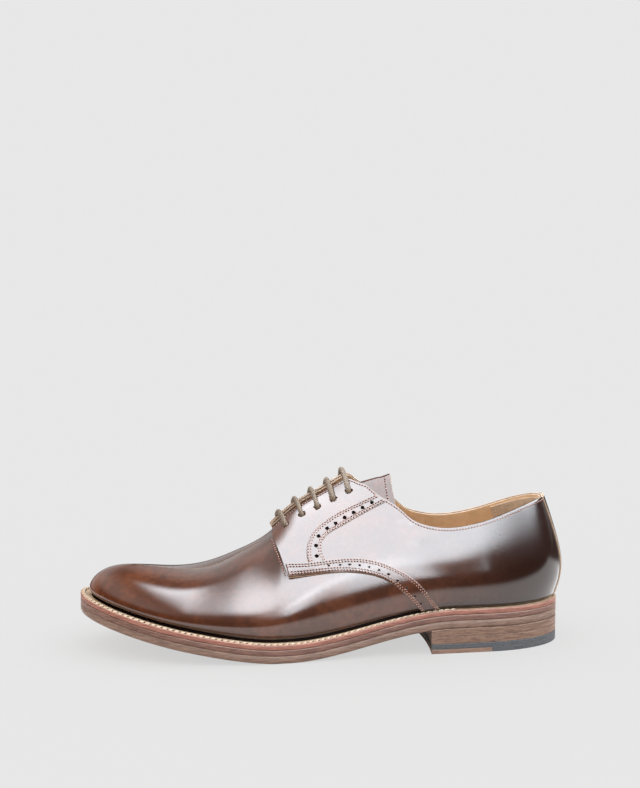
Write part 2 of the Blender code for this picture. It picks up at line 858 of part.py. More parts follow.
def eased(corners, reach=2.4, steps=4):
    """A path with each corner replaced by a short curve."""
    path = [corners[0]]
    for before, corner, after in zip(corners, corners[1:], corners[2:]):
        back = before - corner
        ahead = after - corner
        back *= min(reach / np.linalg.norm(back), 0.45)
        ahead *= min(reach / np.linalg.norm(ahead), 0.45)
        turn = np.dot(back, -ahead) / (np.linalg.norm(back) * np.linalg.norm(ahead))
        shares = np.linspace(0, 1, steps) if turn < 0.8 else np.array([0.5])
        for share in shares:
            path.append(corner + back * (1 - share) ** 2 + ahead * share**2)
    path.append(corners[-1])
    return path


def lace_piece(parts):
    """One cord through all the bars."""
    path_points = to_world(eased(lace_corners()))
    curve = bpy.data.curves.new("lace", "CURVE")
    curve.dimensions = "3D"
    curve.bevel_depth = LACE_RADIUS * MM
    curve.bevel_resolution = 1
    curve.use_fill_caps = True
    path = curve.splines.new("POLY")
    path.points.add(len(path_points) - 1)
    for point, place in zip(path.points, path_points):
        point.co = (*place, 1)
    cord = new_object("lace_path", curve, parts)
    graph = bpy.context.evaluated_depsgraph_get()
    mesh = bpy.data.meshes.new_from_object(cord.evaluated_get(graph))
    bpy.data.objects.remove(cord)
    weld(mesh)
    new_object("lace", mesh, parts)


def material(look):
    """A Principled material of the named look, made once."""
    found = bpy.data.materials.get(look)
    if found:
        return found
    colour, roughness = LOOKS[look]
    made = bpy.data.materials.new(look)
    made.use_nodes = True
    shader = made.node_tree.nodes["Principled BSDF"]
    shader.inputs["Base Color"].default_value = (*colour, 1)
    shader.inputs["Roughness"].default_value = roughness
    shader.inputs["Metallic"].default_value = 0.0
    return made


PIECE_LOOKS = {
    "upper": "calf",
    "brogue_band_lateral": "calf",
    "brogue_band_medial": "calf",
    "back_strip": "calf",
    "tongue": "tongue",
    "midsole": "edge",
    "outsole": "outsole",
    "welt": "welt",
    "heel_lift_upper": "lift",
    "heel_lift_lower": "lift",
    "heel_tip": "lift",
    "heel_top_piece": "rubber",
    "insole": "insole",
    "lace": "cord",
}


def main():
    for obj in list(bpy.data.objects):
        bpy.data.objects.remove(obj)
    parts = bpy.data.collections.new("plain_toe_derby")
    cutters = bpy.data.collections.new("cutters")
    for collection in (parts, cutters):
        bpy.context.scene.collection.children.link(collection)
    sole_pieces(parts)
    heel_pieces(parts, cutters)
    upper_piece(parts, cutters)
    overlays(parts, cutters)
    tongue_piece(parts)
    lace_piece(parts)
    for obj in parts.objects:
        obj.data.materials.clear()
        obj.data.materials.append(material(PIECE_LOOKS[obj.name]))
        obj.data.shade_smooth()
        obj.data.set_sharp_from_angle(angle=math.radians(35))


main()
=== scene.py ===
"""Looks of the plain toe derby, left shoe: calf panels, stitched seams, layered sole and studio light.

Stations run along the shoe in millimetres from the back of the heel (0) to the toe tip. The toe points to -X,
the outer (lateral) side to -Y, and the ground is Z = 0. Tables are in millimetres, as those of the solids are.
"""

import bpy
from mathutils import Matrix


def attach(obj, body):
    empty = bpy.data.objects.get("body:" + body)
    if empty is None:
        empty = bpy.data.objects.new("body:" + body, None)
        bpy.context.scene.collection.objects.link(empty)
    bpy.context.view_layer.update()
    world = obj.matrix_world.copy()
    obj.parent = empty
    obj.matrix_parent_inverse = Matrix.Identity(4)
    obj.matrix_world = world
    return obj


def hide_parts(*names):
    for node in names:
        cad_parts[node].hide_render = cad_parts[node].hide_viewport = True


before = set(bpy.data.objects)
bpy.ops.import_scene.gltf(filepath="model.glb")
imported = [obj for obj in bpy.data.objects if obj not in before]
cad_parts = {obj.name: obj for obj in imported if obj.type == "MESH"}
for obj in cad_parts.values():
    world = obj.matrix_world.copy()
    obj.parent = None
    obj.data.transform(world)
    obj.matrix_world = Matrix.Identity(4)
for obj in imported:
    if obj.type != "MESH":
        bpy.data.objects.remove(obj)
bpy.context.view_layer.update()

import contextlib
import functools
import math

import bmesh
import bpy
import numpy as np
from mathutils import Vector

MM = 0.001
ROOT = "root"

# Driving dimensions of the solids
SOLE_LENGTH = 303.0
MIDDLE_STATION = 149.6
SEAT_HEIGHT = 16.0
SEAT_FRONT = 68.0
BALL_BACK = 173.0
BALL_FRONT = 183.0
TOE_SPRING = 23.5
SPRING_POWER = 1.42
LAYER_GAP = 0.3
OUTSOLE_THICKNESS = 4.9
MIDSOLE_THICKNESS = 3.4
WELT_THICKNESS = 3.0
INSOLE_THICKNESS = 2.6
BREAST_STATION = 84.8
BREAST_HOLLOW = 3.0
BREAST_SLANT = 3.9
TIP_STATION = 45.0
TIP_HEIGHT = 2.8
RUBBER_HEIGHT = 6.2
LIFT_HEIGHT = 10.9
TOE_ROUND = 64.0
TOE_SQUARE = 2.1
HEEL_ROUND = 46.0
HEEL_SQUARE = 2.15

# Leather offsets from the last
VAMP_WALL = 2.0
QUARTER_OUT = 1.9
QUARTER_IN = -0.7
BAND_THICKNESS = 0.8
BAND_OUT = QUARTER_OUT + 0.05 + BAND_THICKNESS
BACK_STRIP_HALF = 5.6
FLAP_LIFT = 3.2
FLAP_LIFT_STATION = 178.0
FLAP_LIFT_REACH = 20.0
FEATHER_HEIGHT = 3.6
FEATHER_DEPTH = 2.2

# Throat, eyelets, tongue and lace
THROAT_CENTRE = 1.5
EYELET_COUNT = 5
EYELET_FIRST = 172.8
EYELET_STEP = 9.8
EYELET_ACROSS = 14.4
EYELET_TAPER = 0.45
EYELET_LEAN = 3.0
EYELET_RADIUS = 2.2
LACE_WIDE = 2.0
LACE_THICK = 1.45
TONGUE_THICKNESS = 2.0
TONGUE_SQUEEZE = 3.4
TONGUE_SOFTENING = 18
TONGUE_END_CURVE = 8.5
TONGUE_END_START = 118.0
COLLAR_SHEAR = 0.05

SIGN = {"lateral": -1.0, "medial": 1.0}


def table(columns, *rows):
    """A table as a dictionary of columns."""
    return dict(zip(columns.split(), np.array(rows, float).T))


# Half-widths of the sole, before its ends are rounded
OUTLINE = table(
    "station lateral medial",
    (0, 30, 31),
    (38, 33.5, 32.5),
    (76, 37, 33),
    (110, 40.5, 31),
    (145, 46.5, 37.5),
    (182, 53, 50),
    (210, 53.5, 53.5),
    (240, 50, 51.5),
    (272, 45, 47),
    (303, 41, 43),
)

# How far the upper stands in from the edge of the sole
INSET = table(
    "station inset",
    (0, 3.3),
    (40, 3.1),
    (80, 3.4),
    (120, 4.8),
    (170, 6.0),
    (230, 6.2),
    (303, 6.6),
)

# Ridge of the last: its height above the ground and its shift to the medial side
RIDGE = table(
    "station height shift",
    (45, 137, 0),
    (80, 134, 1),
    (108, 124.0, 2),
    (131, 111.6, 3.5),
    (150, 98.0, 4),
    (168, 84.5, 4),
    (184, 69.1, 3.5),
    (200, 59.0, 3),
    (216, 51.3, 2.5),
    (232, 48.3, 2),
    (250, 49.8, 2),
    (268, 52.2, 1.5),
)

# Wall of the last from sole to ridge: squareness of its arc, swell on each side, height of the swell
WALL = table(
    "station square lateral medial swell_at",
    (0, 1.95, 5.0, 5.0, 0.22),
    (40, 1.42, 4.4, 4.4, 0.22),
    (80, 1.46, 4.4, 5.0, 0.22),
    (115, 1.74, 3.6, 5.4, 0.24),
    (150, 1.95, 3.0, 4.5, 0.26),
    (185, 2.0, 3.0, 3.5, 0.27),
    (215, 2.1, 2.6, 2.8, 0.28),
    (245, 2.25, 2.2, 2.2, 0.30),
    (275, 2.4, 1.6, 1.6, 0.30),
    (303, 2.5, 1.2, 1.2, 0.30),
)

# Collar line seen from the side, from the top of the facing to the back
COLLAR = table(
    "station height",
    (142.0, 113.4),
    (136.0, 110.4),
    (131.5, 108.3),
    (128.0, 106.4),
    (117.5, 98.4),
    (103.0, 89.2),
    (96.0, 83.0),
    (85.5, 78.6),
    (73.0, 76.9),
    (60.5, 78.0),
    (47.5, 81.0),
    (34.5, 85.4),
    (21.0, 90.0),
    (9.0, 93.0),
    (-10.0, 95.0),
)

# Front edge of the quarter, from its lower corner to the throat
QUARTER_FRONT = table(
    "station height",
    (173.6, 51.4),
    (175.6, 56.6),
    (177.6, 62.6),
    (180.2, 69.5),
    (182.0, 76.0),
    (183.0, 90.0),
)

# Lower edge of the quarter, from its front corner back to the welt
QUARTER_LOWER = table(
    "station height",
    (173.6, 51.4),
    (160.0, 52.6),
    (139.0, 53.7),
    (124.0, 52.0),
    (113.0, 48.4),
    (101.6, 39.9),
    (94.0, 32.0),
    (84.0, 18.0),
)

# Edges of the brogue band: outer edge from collar to front, inner edge from collar to corner, arm to the welt
BAND_OUTER = table(
    "station height",
    (114.0, 99.6),
    (118.1, 97.5),
    (136.8, 89.0),
    (152.3, 80.1),
    (158.6, 74.3),
    (161.3, 68.0),
    (161.6, 62.7),
    (160.9, 59.4),
)
BAND_INNER = table(
    "station height",
    (108.5, 95.2),
    (112.2, 93.4),
    (126.3, 86.7),
    (142.3, 78.5),
    (150.3, 73.3),
    (152.5, 68.5),
    (151.9, 64.2),
    (150.0, 60.6),
)
BAND_ARM = table(
    "station height",
    (150.0, 60.6),
    (138.3, 61.5),
    (127.7, 61.2),
    (116.4, 58.8),
    (105.5, 54.4),
    (93.7, 47.0),
    (86.1, 38.6),
    (79.5, 29.3),
    (72.5, 18.0),
)
BAND_TAB_FRONT = (174.9, 58.6)

# Rear edge of the vamp, hidden under the quarters
VAMP_REAR = table(
    "station height",
    (179.5, 100.0),
    (178.5, 77.0),
    (173.0, 66.5),
    (160.0, 62.0),
    (140.0, 61.0),
    (120.0, 58.0),
    (100.0, 48.0),
    (84.0, 32.0),
    (76.0, 18.0),
)

# Half-width of the opening between the facings
THROAT = table(
    "station half",
    (187.0, 12.5),
    (183.0, 9.6),
    (179.5, 7.0),
    (175.0, 6.2),
    (165.0, 5.8),
    (150.0, 5.3),
    (138.0, 5.3),
    (134.0, 6.0),
    (131.0, 8.0),
    (128.5, 10.0),
    (125.0, 12.0),
    (121.0, 13.4),
    (115.0, 14.0),
)

# Tongue: depth under the last, half-width along the surface, and how far its top drops
TONGUE = table(
    "station depth half drop",
    (101, 6.6, 27.0, 6.6),
    (106, 6.6, 26.8, 6.6),
    (112, 6.6, 26.5, 6.4),
    (118, 6.6, 25.8, 5.6),
    (124, 6.6, 25.0, 4.3),
    (136, 6.8, 23.0, 1.6),
    (146, 6.8, 21.0, 0.3),
    (156, 6.2, 19.0, 0.0),
    (166, 5.6, 17.5, 0.0),
    (175, 5.0, 15.5, 0.0),
    (183, 4.4, 14.0, 0.0),
    (187, 4.6, 13.5, 0.0),
)

# Soft troughs (negative) and ridges in the calf: place, reach along and across, depth
CREASES = table(
    "station height reach_along reach_up depth",
    (99, 79, 9, 3.0, -0.45),
    (92, 73, 10, 3.5, 0.25),
    (104, 86, 7, 2.5, 0.20),
)

# Perforations of the band: large holes along its upper arm, pinholes along its lower arm
LARGE_HOLES = table(
    "station height",
    (155.9, 62.9),
    (155.9, 68.6),
    (154.0, 73.8),
    (148.5, 78.1),
    (143.0, 81.0),
    (137.3, 84.3),
    (131.6, 87.3),
    (125.9, 90.2),
    (120.0, 93.2),
)
PINHOLES = table(
    "station height",
    (148.7, 57.6),
    (141.8, 57.8),
    (135.8, 57.9),
    (129.5, 57.4),
    (123.4, 56.3),
    (117.4, 54.3),
    (111.7, 51.6),
    (105.9, 47.9),
    (100.3, 43.4),
    (95.3, 38.6),
    (91.2, 33.9),
)
LARGE_HOLE_RADIUS = 1.15
PINHOLE_RADIUS = 0.62


@functools.lru_cache(maxsize=None)
def spline_bends(x, y):
    """Second derivatives of the natural cubic spline through (x, y)."""
    step = np.diff(x)
    count = len(x)
    system = np.eye(count)
    right = np.zeros(count)
    for i in range(1, count - 1):
        system[i, i - 1 : i + 2] = step[i - 1], 2 * (step[i - 1] + step[i]), step[i]
        right[i] = 6 * ((y[i + 1] - y[i]) / step[i] - (y[i] - y[i - 1]) / step[i - 1])
    return np.linalg.solve(system, right)


def spline(x, y, at):
    """Natural cubic spline through (x, y), held level outside its rows."""
    order = np.argsort(x)
    x = x[order]
    y = y[order]
    at = np.clip(at, x[0], x[-1])
    step = np.diff(x)
    bend = spline_bends(tuple(x), tuple(y))
    i = np.clip(np.searchsorted(x, at) - 1, 0, len(x) - 2)
    a = (x[i + 1] - at) / step[i]
    b = (at - x[i]) / step[i]
    cubic = (a**3 - a) * bend[i] + (b**3 - b) * bend[i + 1]
    return a * y[i] + b * y[i + 1] + cubic * step[i] ** 2 / 6


def column(rows, name, station):
    """One column of a table, smoothed between its rows."""
    return spline(rows["station"], rows[name], station)


def reach_along(points):
    """Distance along a polyline to each of its points."""
    return np.concatenate([[0], np.cumsum(np.linalg.norm(np.diff(points, axis=0), axis=1))])


def traced(rows, per_row=12):
    """A smooth line through a table of (station, height) rows."""
    points = np.stack([rows["station"], rows["height"]], -1)
    reach = reach_along(points)
    at = np.interp(np.arange((len(points) - 1) * per_row + 1) / per_row, np.arange(len(points)), reach)
    return np.stack([spline(reach, points[:, 0], at), spline(reach, points[:, 1], at)], -1)


def resampled(line, count):
    """A polyline with evenly spaced points."""
    reach = reach_along(line)
    at = np.linspace(0, reach[-1], count)
    return np.stack([np.interp(at, reach, line[:, axis]) for axis in range(line.shape[1])], -1)


def height_along(*tables):
    """Height as a function of station, through one or more tables."""
    line = np.concatenate([traced(rows) for rows in tables])
    line = line[np.argsort(line[:, 0], kind="stable")]
    return lambda station: np.interp(station, line[:, 0], line[:, 1])


def rounded_end(distance, reach, square):
    """Share of the full width at a distance from a rounded end."""
    share = np.clip(1 - distance / reach, 0, 1)
    return (1 - share**square) ** (1 / square)


def half_width(side, station):
    """Half-width of the sole at a station."""
    toe = rounded_end(SOLE_LENGTH - station, TOE_ROUND, TOE_SQUARE)
    heel = rounded_end(station, HEEL_ROUND, HEEL_SQUARE)
    return column(OUTLINE, side, station) * toe * heel


def station_along(t):
    """Station of a place along one side, t = 0 at the toe tip and 1 at the heel."""
    return SOLE_LENGTH * (1 + np.cos(np.pi * t)) / 2


def place_at(station):
    """Place along one side at a station, the inverse of station_along."""
    return np.arccos(np.clip(2 * np.asarray(station, float) / SOLE_LENGTH - 1, -1, 1)) / np.pi


def sole_edge(side, t, inset=0.0):
    """Station, across and outward direction of the sole's edge, moved in by an inset."""
    t = np.asarray(t, float)
    small = 1e-3
    inner = np.clip(t, 2 * small, 1 - 2 * small)
    ahead = station_along(inner + small)
    behind = station_along(inner - small)
    along = ahead - behind
    across = SIGN[side] * (half_width(side, ahead) - half_width(side, behind))
    out = SIGN[side] * np.stack([across, -along], -1)
    out /= np.linalg.norm(out, axis=-1, keepdims=True)
    tips = np.stack([np.where(t < 0.5, 1.0, -1.0), np.zeros_like(t)], -1)
    out = np.where(((t < small) | (t > 1 - small))[..., None], tips, out)
    station = station_along(t) - inset * out[..., 0]
    place = SIGN[side] * half_width(side, station_along(t)) - inset * out[..., 1]
    return station, place, out


def sole_bottom(station):
    """Height of the outsole's underside: seat, arch, flat ball and toe spring."""
    arch = np.clip((BALL_BACK - station) / (BALL_BACK - SEAT_FRONT), 0, 1)
    spring = np.clip((station - BALL_FRONT) / (SOLE_LENGTH - BALL_FRONT), 0, None)
    return SEAT_HEIGHT * (3 * arch**2 - 2 * arch**3) + TOE_SPRING * spring**SPRING_POWER


def midsole_bottom(station):
    return sole_bottom(station) + OUTSOLE_THICKNESS + LAYER_GAP


def welt_bottom(station):
    return midsole_bottom(station) + MIDSOLE_THICKNESS + LAYER_GAP


def upper_bottom(station):
    return welt_bottom(station) + WELT_THICKNESS + LAYER_GAP


def last_point(side, t, q, lifted=False):
    """Point (station, across, height) of the last: t along the side, q = 0 at the sole, 1 at the ridge."""
    t, q = np.broadcast_arrays(np.asarray(t, float), np.asarray(q, float))
    inset = column(INSET, "inset", station_along(t))
    foot, foot_across, out = sole_edge(side, t, inset)
    back = INSET["inset"][0]
    front = SOLE_LENGTH - INSET["inset"][-1]
    share = np.clip((foot - back) / (front - back), 0, 1)
    ridge = RIDGE["station"][0] + share * (RIDGE["station"][-1] - RIDGE["station"][0])
    ridge_height = column(RIDGE, "height", ridge)
    if lifted:
        from_middle = (ridge - FLAP_LIFT_STATION) / FLAP_LIFT_REACH
        ridge_height = ridge_height + FLAP_LIFT * np.exp(-(from_middle**2))
    ridge_across = column(RIDGE, "shift", ridge)
    square = column(WALL, "square", foot)
    angle = q * math.pi / 2
    radius = (np.cos(angle) ** square + np.sin(angle) ** square) ** (-1 / square)
    near = radius * np.cos(angle)
    rise = radius * np.sin(angle)
    swell = rise / column(WALL, "swell_at", foot)
    swell = column(WALL, side, foot) * swell**2 * np.exp(2 - 2 * swell)
    base = upper_bottom(foot)
    return np.stack(
        [
            ridge + (foot - ridge) * near + swell * out[..., 0],
            ridge_across + (foot_across - ridge_across) * near + swell * out[..., 1],
            base + (ridge_height - base) * rise,
        ],
        -1,
    )


def last_normal(side, t, q, lifted=False):
    """Outward direction of the last at a point."""
    small = 1e-3
    t = np.clip(t, small, 1 - small)
    q = np.clip(q, small, 1 - small)
    along = last_point(side, t + small, q, lifted) - last_point(side, t - small, q, lifted)
    up = last_point(side, t, q + small, lifted) - last_point(side, t, q - small, lifted)
    normal = np.cross(up, along) * -SIGN[side]
    return normal / np.linalg.norm(normal, axis=-1, keepdims=True)


def leather_point(side, t, q, offset, lifted=False):
    """Point of a leather surface: the last, an offset, the turned-in foot and the listed creases."""
    point = last_point(side, t, q, lifted)
    normal = last_normal(side, t, q, lifted)
    above = point[..., 2] - last_point(side, t, 0 * q, lifted)[..., 2]
    turn = np.clip(1 - above / FEATHER_HEIGHT, 0, 1) ** 2
    depth = offset - FEATHER_DEPTH * turn
    for station, height, along, up, crease in zip(*CREASES.values()):
        place = ((point[..., 0] - station) / along) ** 2 + ((point[..., 2] - height) / up) ** 2
        depth = depth + crease * np.exp(-place)
    return point + normal * depth[..., None]


def root_in(low, high, inside, steps=44):
    """Where a test that is negative at low turns positive, found by halving, for arrays of starts."""
    low, high = (np.array(np.broadcast_to(end, np.shape(low)), float) for end in (low, high))
    for _ in range(steps):
        middle = (low + high) / 2
        past = inside(middle) > 0
        high = np.where(past, middle, high)
        low = np.where(past, low, middle)
    return (low + high) / 2


def seek(side, goal, axes, t, q, lifted, steps=40):
    """Places (t, q) on one side where two coordinates of the last reach a goal."""
    small = 1e-5
    for _ in range(steps):
        here = last_point(side, t, q, lifted)[..., axes]
        by_t = (last_point(side, t + small, q, lifted)[..., axes] - here) / small
        by_q = (here - last_point(side, t, q - small, lifted)[..., axes]) / small
        miss = goal - here
        cross = by_t[..., 0] * by_q[..., 1] - by_t[..., 1] * by_q[..., 0]
        cross = np.where(abs(cross) < 1e-6, 1e-6, cross)
        move_t = (miss[..., 0] * by_q[..., 1] - miss[..., 1] * by_q[..., 0]) / cross
        move_q = (by_t[..., 0] * miss[..., 1] - by_t[..., 1] * miss[..., 0]) / cross
        t = np.clip(t + np.clip(move_t, -0.06, 0.06), 0.01, 0.99)
        q = np.clip(q + np.clip(move_q, -0.06, 0.06), 0.0, 1.0)
    return t, q


def from_side(side, line, lifted=True):
    """Places (t, q) on one side of a line of (station, height) points."""
    line = np.asarray(line, float)
    low = upper_bottom(line[..., 0])
    rise = np.clip((line[..., 1] - low) / (column(RIDGE, "height", line[..., 0]) - low), 0.02, 0.95)
    return seek(side, line, [0, 2], place_at(line[..., 0]), rise * 0.7, lifted)


def from_above(points, lifted=True):
    """Point and direction of the last under (station, across) places."""
    points = np.asarray(points, float)
    shift = column(RIDGE, "shift", points[..., 0])
    span = RIDGE["station"][-1] - RIDGE["station"][0]
    foot = SOLE_LENGTH * np.clip((points[..., 0] - RIDGE["station"][0]) / span, 0.02, 0.98)
    found = np.zeros(points.shape[:-1] + (3,))
    facing = np.zeros_like(found)
    for side in SIGN:
        mine = (points[..., 1] < shift) == (side == "lateral")
        share = np.minimum(abs(points[..., 1] - shift) / 40, 0.9)
        t, q = seek(side, points, [0, 1], place_at(foot), 1 - share * 0.6, lifted)
        found[mine] = last_point(side, t, q, lifted)[mine]
        facing[mine] = last_normal(side, t, q, lifted)[mine]
    return found, facing


def to_world(points):
    """Turn (station, across, height) in millimetres into metres in the shoe's frame."""
    points = np.asarray(points, float)
    return np.stack([MIDDLE_STATION - points[..., 0], points[..., 1], points[..., 2]], -1) * MM


def turned(directions):
    """Turn a direction in (station, across, height) into the shoe's frame."""
    directions = np.asarray(directions, float)
    return np.stack([-directions[..., 0], directions[..., 1], directions[..., 2]], -1)


collar_height = height_along(COLLAR)
quarter_floor = height_along(QUARTER_LOWER, QUARTER_FRONT)
vamp_ceiling = height_along(VAMP_REAR)


def quarter_top(side, t):
    """Where the quarter ends at each place along a side: the collar line or the edge of the facing."""

    def over_collar(q):
        point = last_point(side, t, q, True) + 0.6 * last_normal(side, t, q, True)
        return point[..., 2] - (collar_height(point[..., 0]) - COLLAR_SHEAR * point[..., 1])

    def in_throat(q):
        point = last_point(side, t, q, True)
        half = column(THROAT, "half", point[..., 0])
        inside = (point[..., 0] > THROAT["station"].min()) & (point[..., 0] < THROAT["station"].max())
        return np.where(inside, half, -1.0) - abs(point[..., 1] - THROAT_CENTRE)

    start = np.full_like(t, 0.05)
    return np.minimum(root_in(start, 1.0, over_collar), root_in(start, 1.0, in_throat))


def quarter_bottom(side, t):
    """Where the quarter begins at each place along a side: the welt, its lower edge or its front edge."""

    def over_edge(q):
        point = last_point(side, t, q, True)
        behind = point[..., 0] < QUARTER_LOWER["station"].min()
        return point[..., 2] - np.where(behind, 0, quarter_floor(point[..., 0]))

    return root_in(np.zeros_like(t), 1.0, over_edge)


def vamp_top(side, t):
    """Where the vamp ends at each place along a side: the ridge, or its rear edge under the quarters."""

    def over_edge(q):
        point = last_point(side, t, q)
        ahead = point[..., 0] > VAMP_REAR["station"].max() - 0.4
        return np.where(ahead, -1.0, point[..., 2] - vamp_ceiling(point[..., 0]))

    end = root_in(np.zeros_like(t), 1.0, over_edge)
    return np.where(end > 0.9999, 1.0, end)


# Meshes


def link(obj):
    bpy.context.scene.collection.objects.link(obj)
    return obj


def mesh_object(name, points, faces, materials=(), slots=None, foot=None):
    """A smooth mesh object from points in millimetres; foot is each point's height above the welt."""
    mesh = bpy.data.meshes.new(name)
    mesh.from_pydata([tuple(point) for point in to_world(points)], [], [tuple(face) for face in faces])
    for look in materials:
        mesh.materials.append(look)
    if slots is not None:
        mesh.polygons.foreach_set("material_index", np.asarray(slots, np.int32))
    if foot is not None:
        layer = mesh.attributes.new("foot", "FLOAT", "POINT")
        layer.data.foreach_set("value", np.asarray(foot, np.float32).ravel())
    mesh.shade_smooth()
    return link(bpy.data.objects.new(name, mesh))


def settle(obj):
    """Replace an object's mesh by what its modifiers make of it."""
    graph = bpy.context.evaluated_depsgraph_get()
    result = bpy.data.meshes.new_from_object(obj.evaluated_get(graph))
    obj.modifiers.clear()
    obj.data = result


@contextlib.contextmanager
def mesh_work(obj):
    """A bmesh of an object's mesh, written back at the end."""
    work = bmesh.new()
    work.from_mesh(obj.data)
    yield work
    work.to_mesh(obj.data)
    work.free()


def merged(obj, distance=1e-6):
    with mesh_work(obj) as work:
        bmesh.ops.remove_doubles(work, verts=work.verts, dist=distance)


def faced_out(obj):
    with mesh_work(obj) as work:
        bmesh.ops.recalc_face_normals(work, faces=work.faces)


def grid_faces(across, up, flip=False, start=0):
    """Faces of a grid of points stored column by column."""
    faces = []
    for i in range(across - 1):
        for j in range(up - 1):
            a = start + i * up + j
            face = (a, a + up, a + up + 1, a + 1)
            faces.append(face[::-1] if flip else face)
    return faces


def ring_faces(loops, count, closed=False):
    """Faces between loops of equally many points, and from the last loop to the first when closed."""
    faces = []
    for low in range(loops if closed else loops - 1):
        high = (low + 1) % loops
        for i in range(count):
            j = (i + 1) % count
            faces.append((low * count + i, low * count + j, high * count + j, high * count + i))
    return faces


def end_caps(loops, count):
    """Faces that shut the first and the last of a row of loops."""
    return [tuple(range(count))[::-1], tuple((loops - 1) * count + i for i in range(count))]


def walled(obj, thickness, bevel=0.35):
    """Give an open sheet its thickness inward, with lining inside, raw edges at its rim, and soft corners."""
    wall = obj.modifiers.new("Wall", "SOLIDIFY")
    wall.thickness = thickness * MM
    wall.offset = -1
    wall.use_even_offset = True
    wall.material_offset = 1
    wall.material_offset_rim = 2
    soft = obj.modifiers.new("Soft edge", "BEVEL")
    soft.width = bevel * MM
    soft.segments = 2
    soft.limit_method = "ANGLE"
    soft.angle_limit = math.radians(50)
    settle(obj)


def finished(obj, slot, *nodes):
    """Hand a finished piece to the shoe's one body."""
    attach(obj, ROOT)
    if nodes:
        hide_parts(*nodes)


def carve(target, cutter):
    """Cut a closed mesh out of a piece."""
    cut = target.modifiers.new("Cut", "BOOLEAN")
    cut.operation = "DIFFERENCE"
    cut.object = cutter
    settle(target)


# Shader groups and materials


def add(tree, kind, inputs=None, **settings):
    """A node with its settings and its inputs, each a value or a socket."""
    node = tree.nodes.new(kind)
    for key, value in settings.items():
        setattr(node, key, value)
    for key, value in (inputs or {}).items():
        if isinstance(value, bpy.types.NodeSocket):
            tree.links.new(value, node.inputs[key])
        else:
            node.inputs[key].default_value = value
    return node


def calc(tree, operation, a, b=0.0, clamp=False):
    return add(tree, "ShaderNodeMath", {0: a, 1: b}, operation=operation, use_clamp=clamp).outputs[0]


def ramp(tree, value, low, high, start=0.0, end=1.0):
    """A smooth step of a value from one level to another."""
    sockets = {"Value": value, "From Min": low, "From Max": high, "To Min": start, "To Max": end}
    return add(tree, "ShaderNodeMapRange", sockets, interpolation_type="SMOOTHSTEP").outputs["Result"]


def blend(tree, share, first, second):
    """One colour fading to another."""
    node = add(tree, "ShaderNodeMix", data_type="RGBA")
    for index, value in ((0, share), (6, first), (7, second)):
        if isinstance(value, bpy.types.NodeSocket):
            tree.links.new(value, node.inputs[index])
        else:
            node.inputs[index].default_value = (*value, 1) if isinstance(value, tuple) else value
    return node.outputs[2]


def noise(tree, place, scale, detail=3.0, rough=0.5):
    sockets = {"Vector": place, "Scale": scale, "Detail": detail, "Roughness": rough}
    return add(tree, "ShaderNodeTexNoise", sockets).outputs["Fac"]


def object_place(tree):
    return add(tree, "ShaderNodeTexCoord").outputs["Object"]


def weighed(tree, first, share, second, other):
    """Sum of two values, each times its share."""
    return calc(tree, "ADD", calc(tree, "MULTIPLY", first, share), calc(tree, "MULTIPLY", second, other))


def stretched(tree, place, scale):
    return add(tree, "ShaderNodeMapping", {"Vector": place, "Scale": scale}).outputs["Vector"]


def group_shell(name, inputs, outputs):
    """An empty shader group with named number inputs and outputs."""
    group = bpy.data.node_groups.new(name, "ShaderNodeTree")
    for label, default in inputs.items():
        socket = group.interface.new_socket(label, in_out="INPUT", socket_type="NodeSocketFloat")
        socket.default_value = default
    for label in outputs:
        group.interface.new_socket(label, in_out="OUTPUT", socket_type="NodeSocketFloat")
    return group, group.nodes.new("NodeGroupInput"), group.nodes.new("NodeGroupOutput")


def leather_grain_group():
    """Fine pores and creases of calf, and the slow mottling of its dye."""
    group, given, result = group_shell("leather_grain", {"Pore Scale": 1500.0}, ("Height", "Mottle"))
    place = object_place(group)
    sockets = {"Vector": place, "Scale": given.outputs["Pore Scale"], "Randomness": 1.0}
    cells = add(group, "ShaderNodeTexVoronoi", sockets, feature="F1").outputs["Distance"]
    fine = noise(group, place, 4200.0, 2.0)
    group.links.new(weighed(group, cells, 0.6, fine, 0.5), result.inputs["Height"])
    slow = noise(group, place, 38.0, 4.0)
    quick = noise(group, place, 260.0, 3.0)
    group.links.new(weighed(group, slow, 0.65, quick, 0.35), result.inputs["Mottle"])
    return group


def fibre_group():
    """Fibres of cut leather, drawn out along the shoe."""
    group, given, result = group_shell("cut_fibres", {"Fineness": 1.0}, ("Streak", "Height"))
    scaled = add(group, "ShaderNodeVectorMath", {0: object_place(group)}, operation="SCALE")
    group.links.new(given.outputs["Fineness"], scaled.inputs["Scale"])
    long = stretched(group, scaled.outputs[0], (110.0, 110.0, 900.0))
    short = stretched(group, scaled.outputs[0], (500.0, 500.0, 2400.0))
    streak = noise(group, long, 1.0, 4.0, 0.6)
    grain = noise(group, short, 1.0, 3.0, 0.6)
    group.links.new(weighed(group, streak, 0.7, grain, 0.3), result.inputs["Streak"])
    group.links.new(calc(group, "ADD", streak, grain), result.inputs["Height"])
    return group


GRAIN = leather_grain_group()
FIBRES = fibre_group()


def principled(name, roughness, coat=0.0, coat_roughness=0.1, sheen=0.0, specular=0.5, coat_ior=1.5):
    """A new material and its Principled shader with its constant values."""
    made = bpy.data.materials.new(name)
    made.use_nodes = True
    shader = made.node_tree.nodes["Principled BSDF"]
    shader.inputs["Roughness"].default_value = roughness
    shader.inputs["Coat Weight"].default_value = coat
    shader.inputs["Coat Roughness"].default_value = coat_roughness
    shader.inputs["Coat IOR"].default_value = coat_ior
    shader.inputs["Sheen Weight"].default_value = sheen
    shader.inputs["Specular IOR Level"].default_value = specular
    return made, made.node_tree, shader


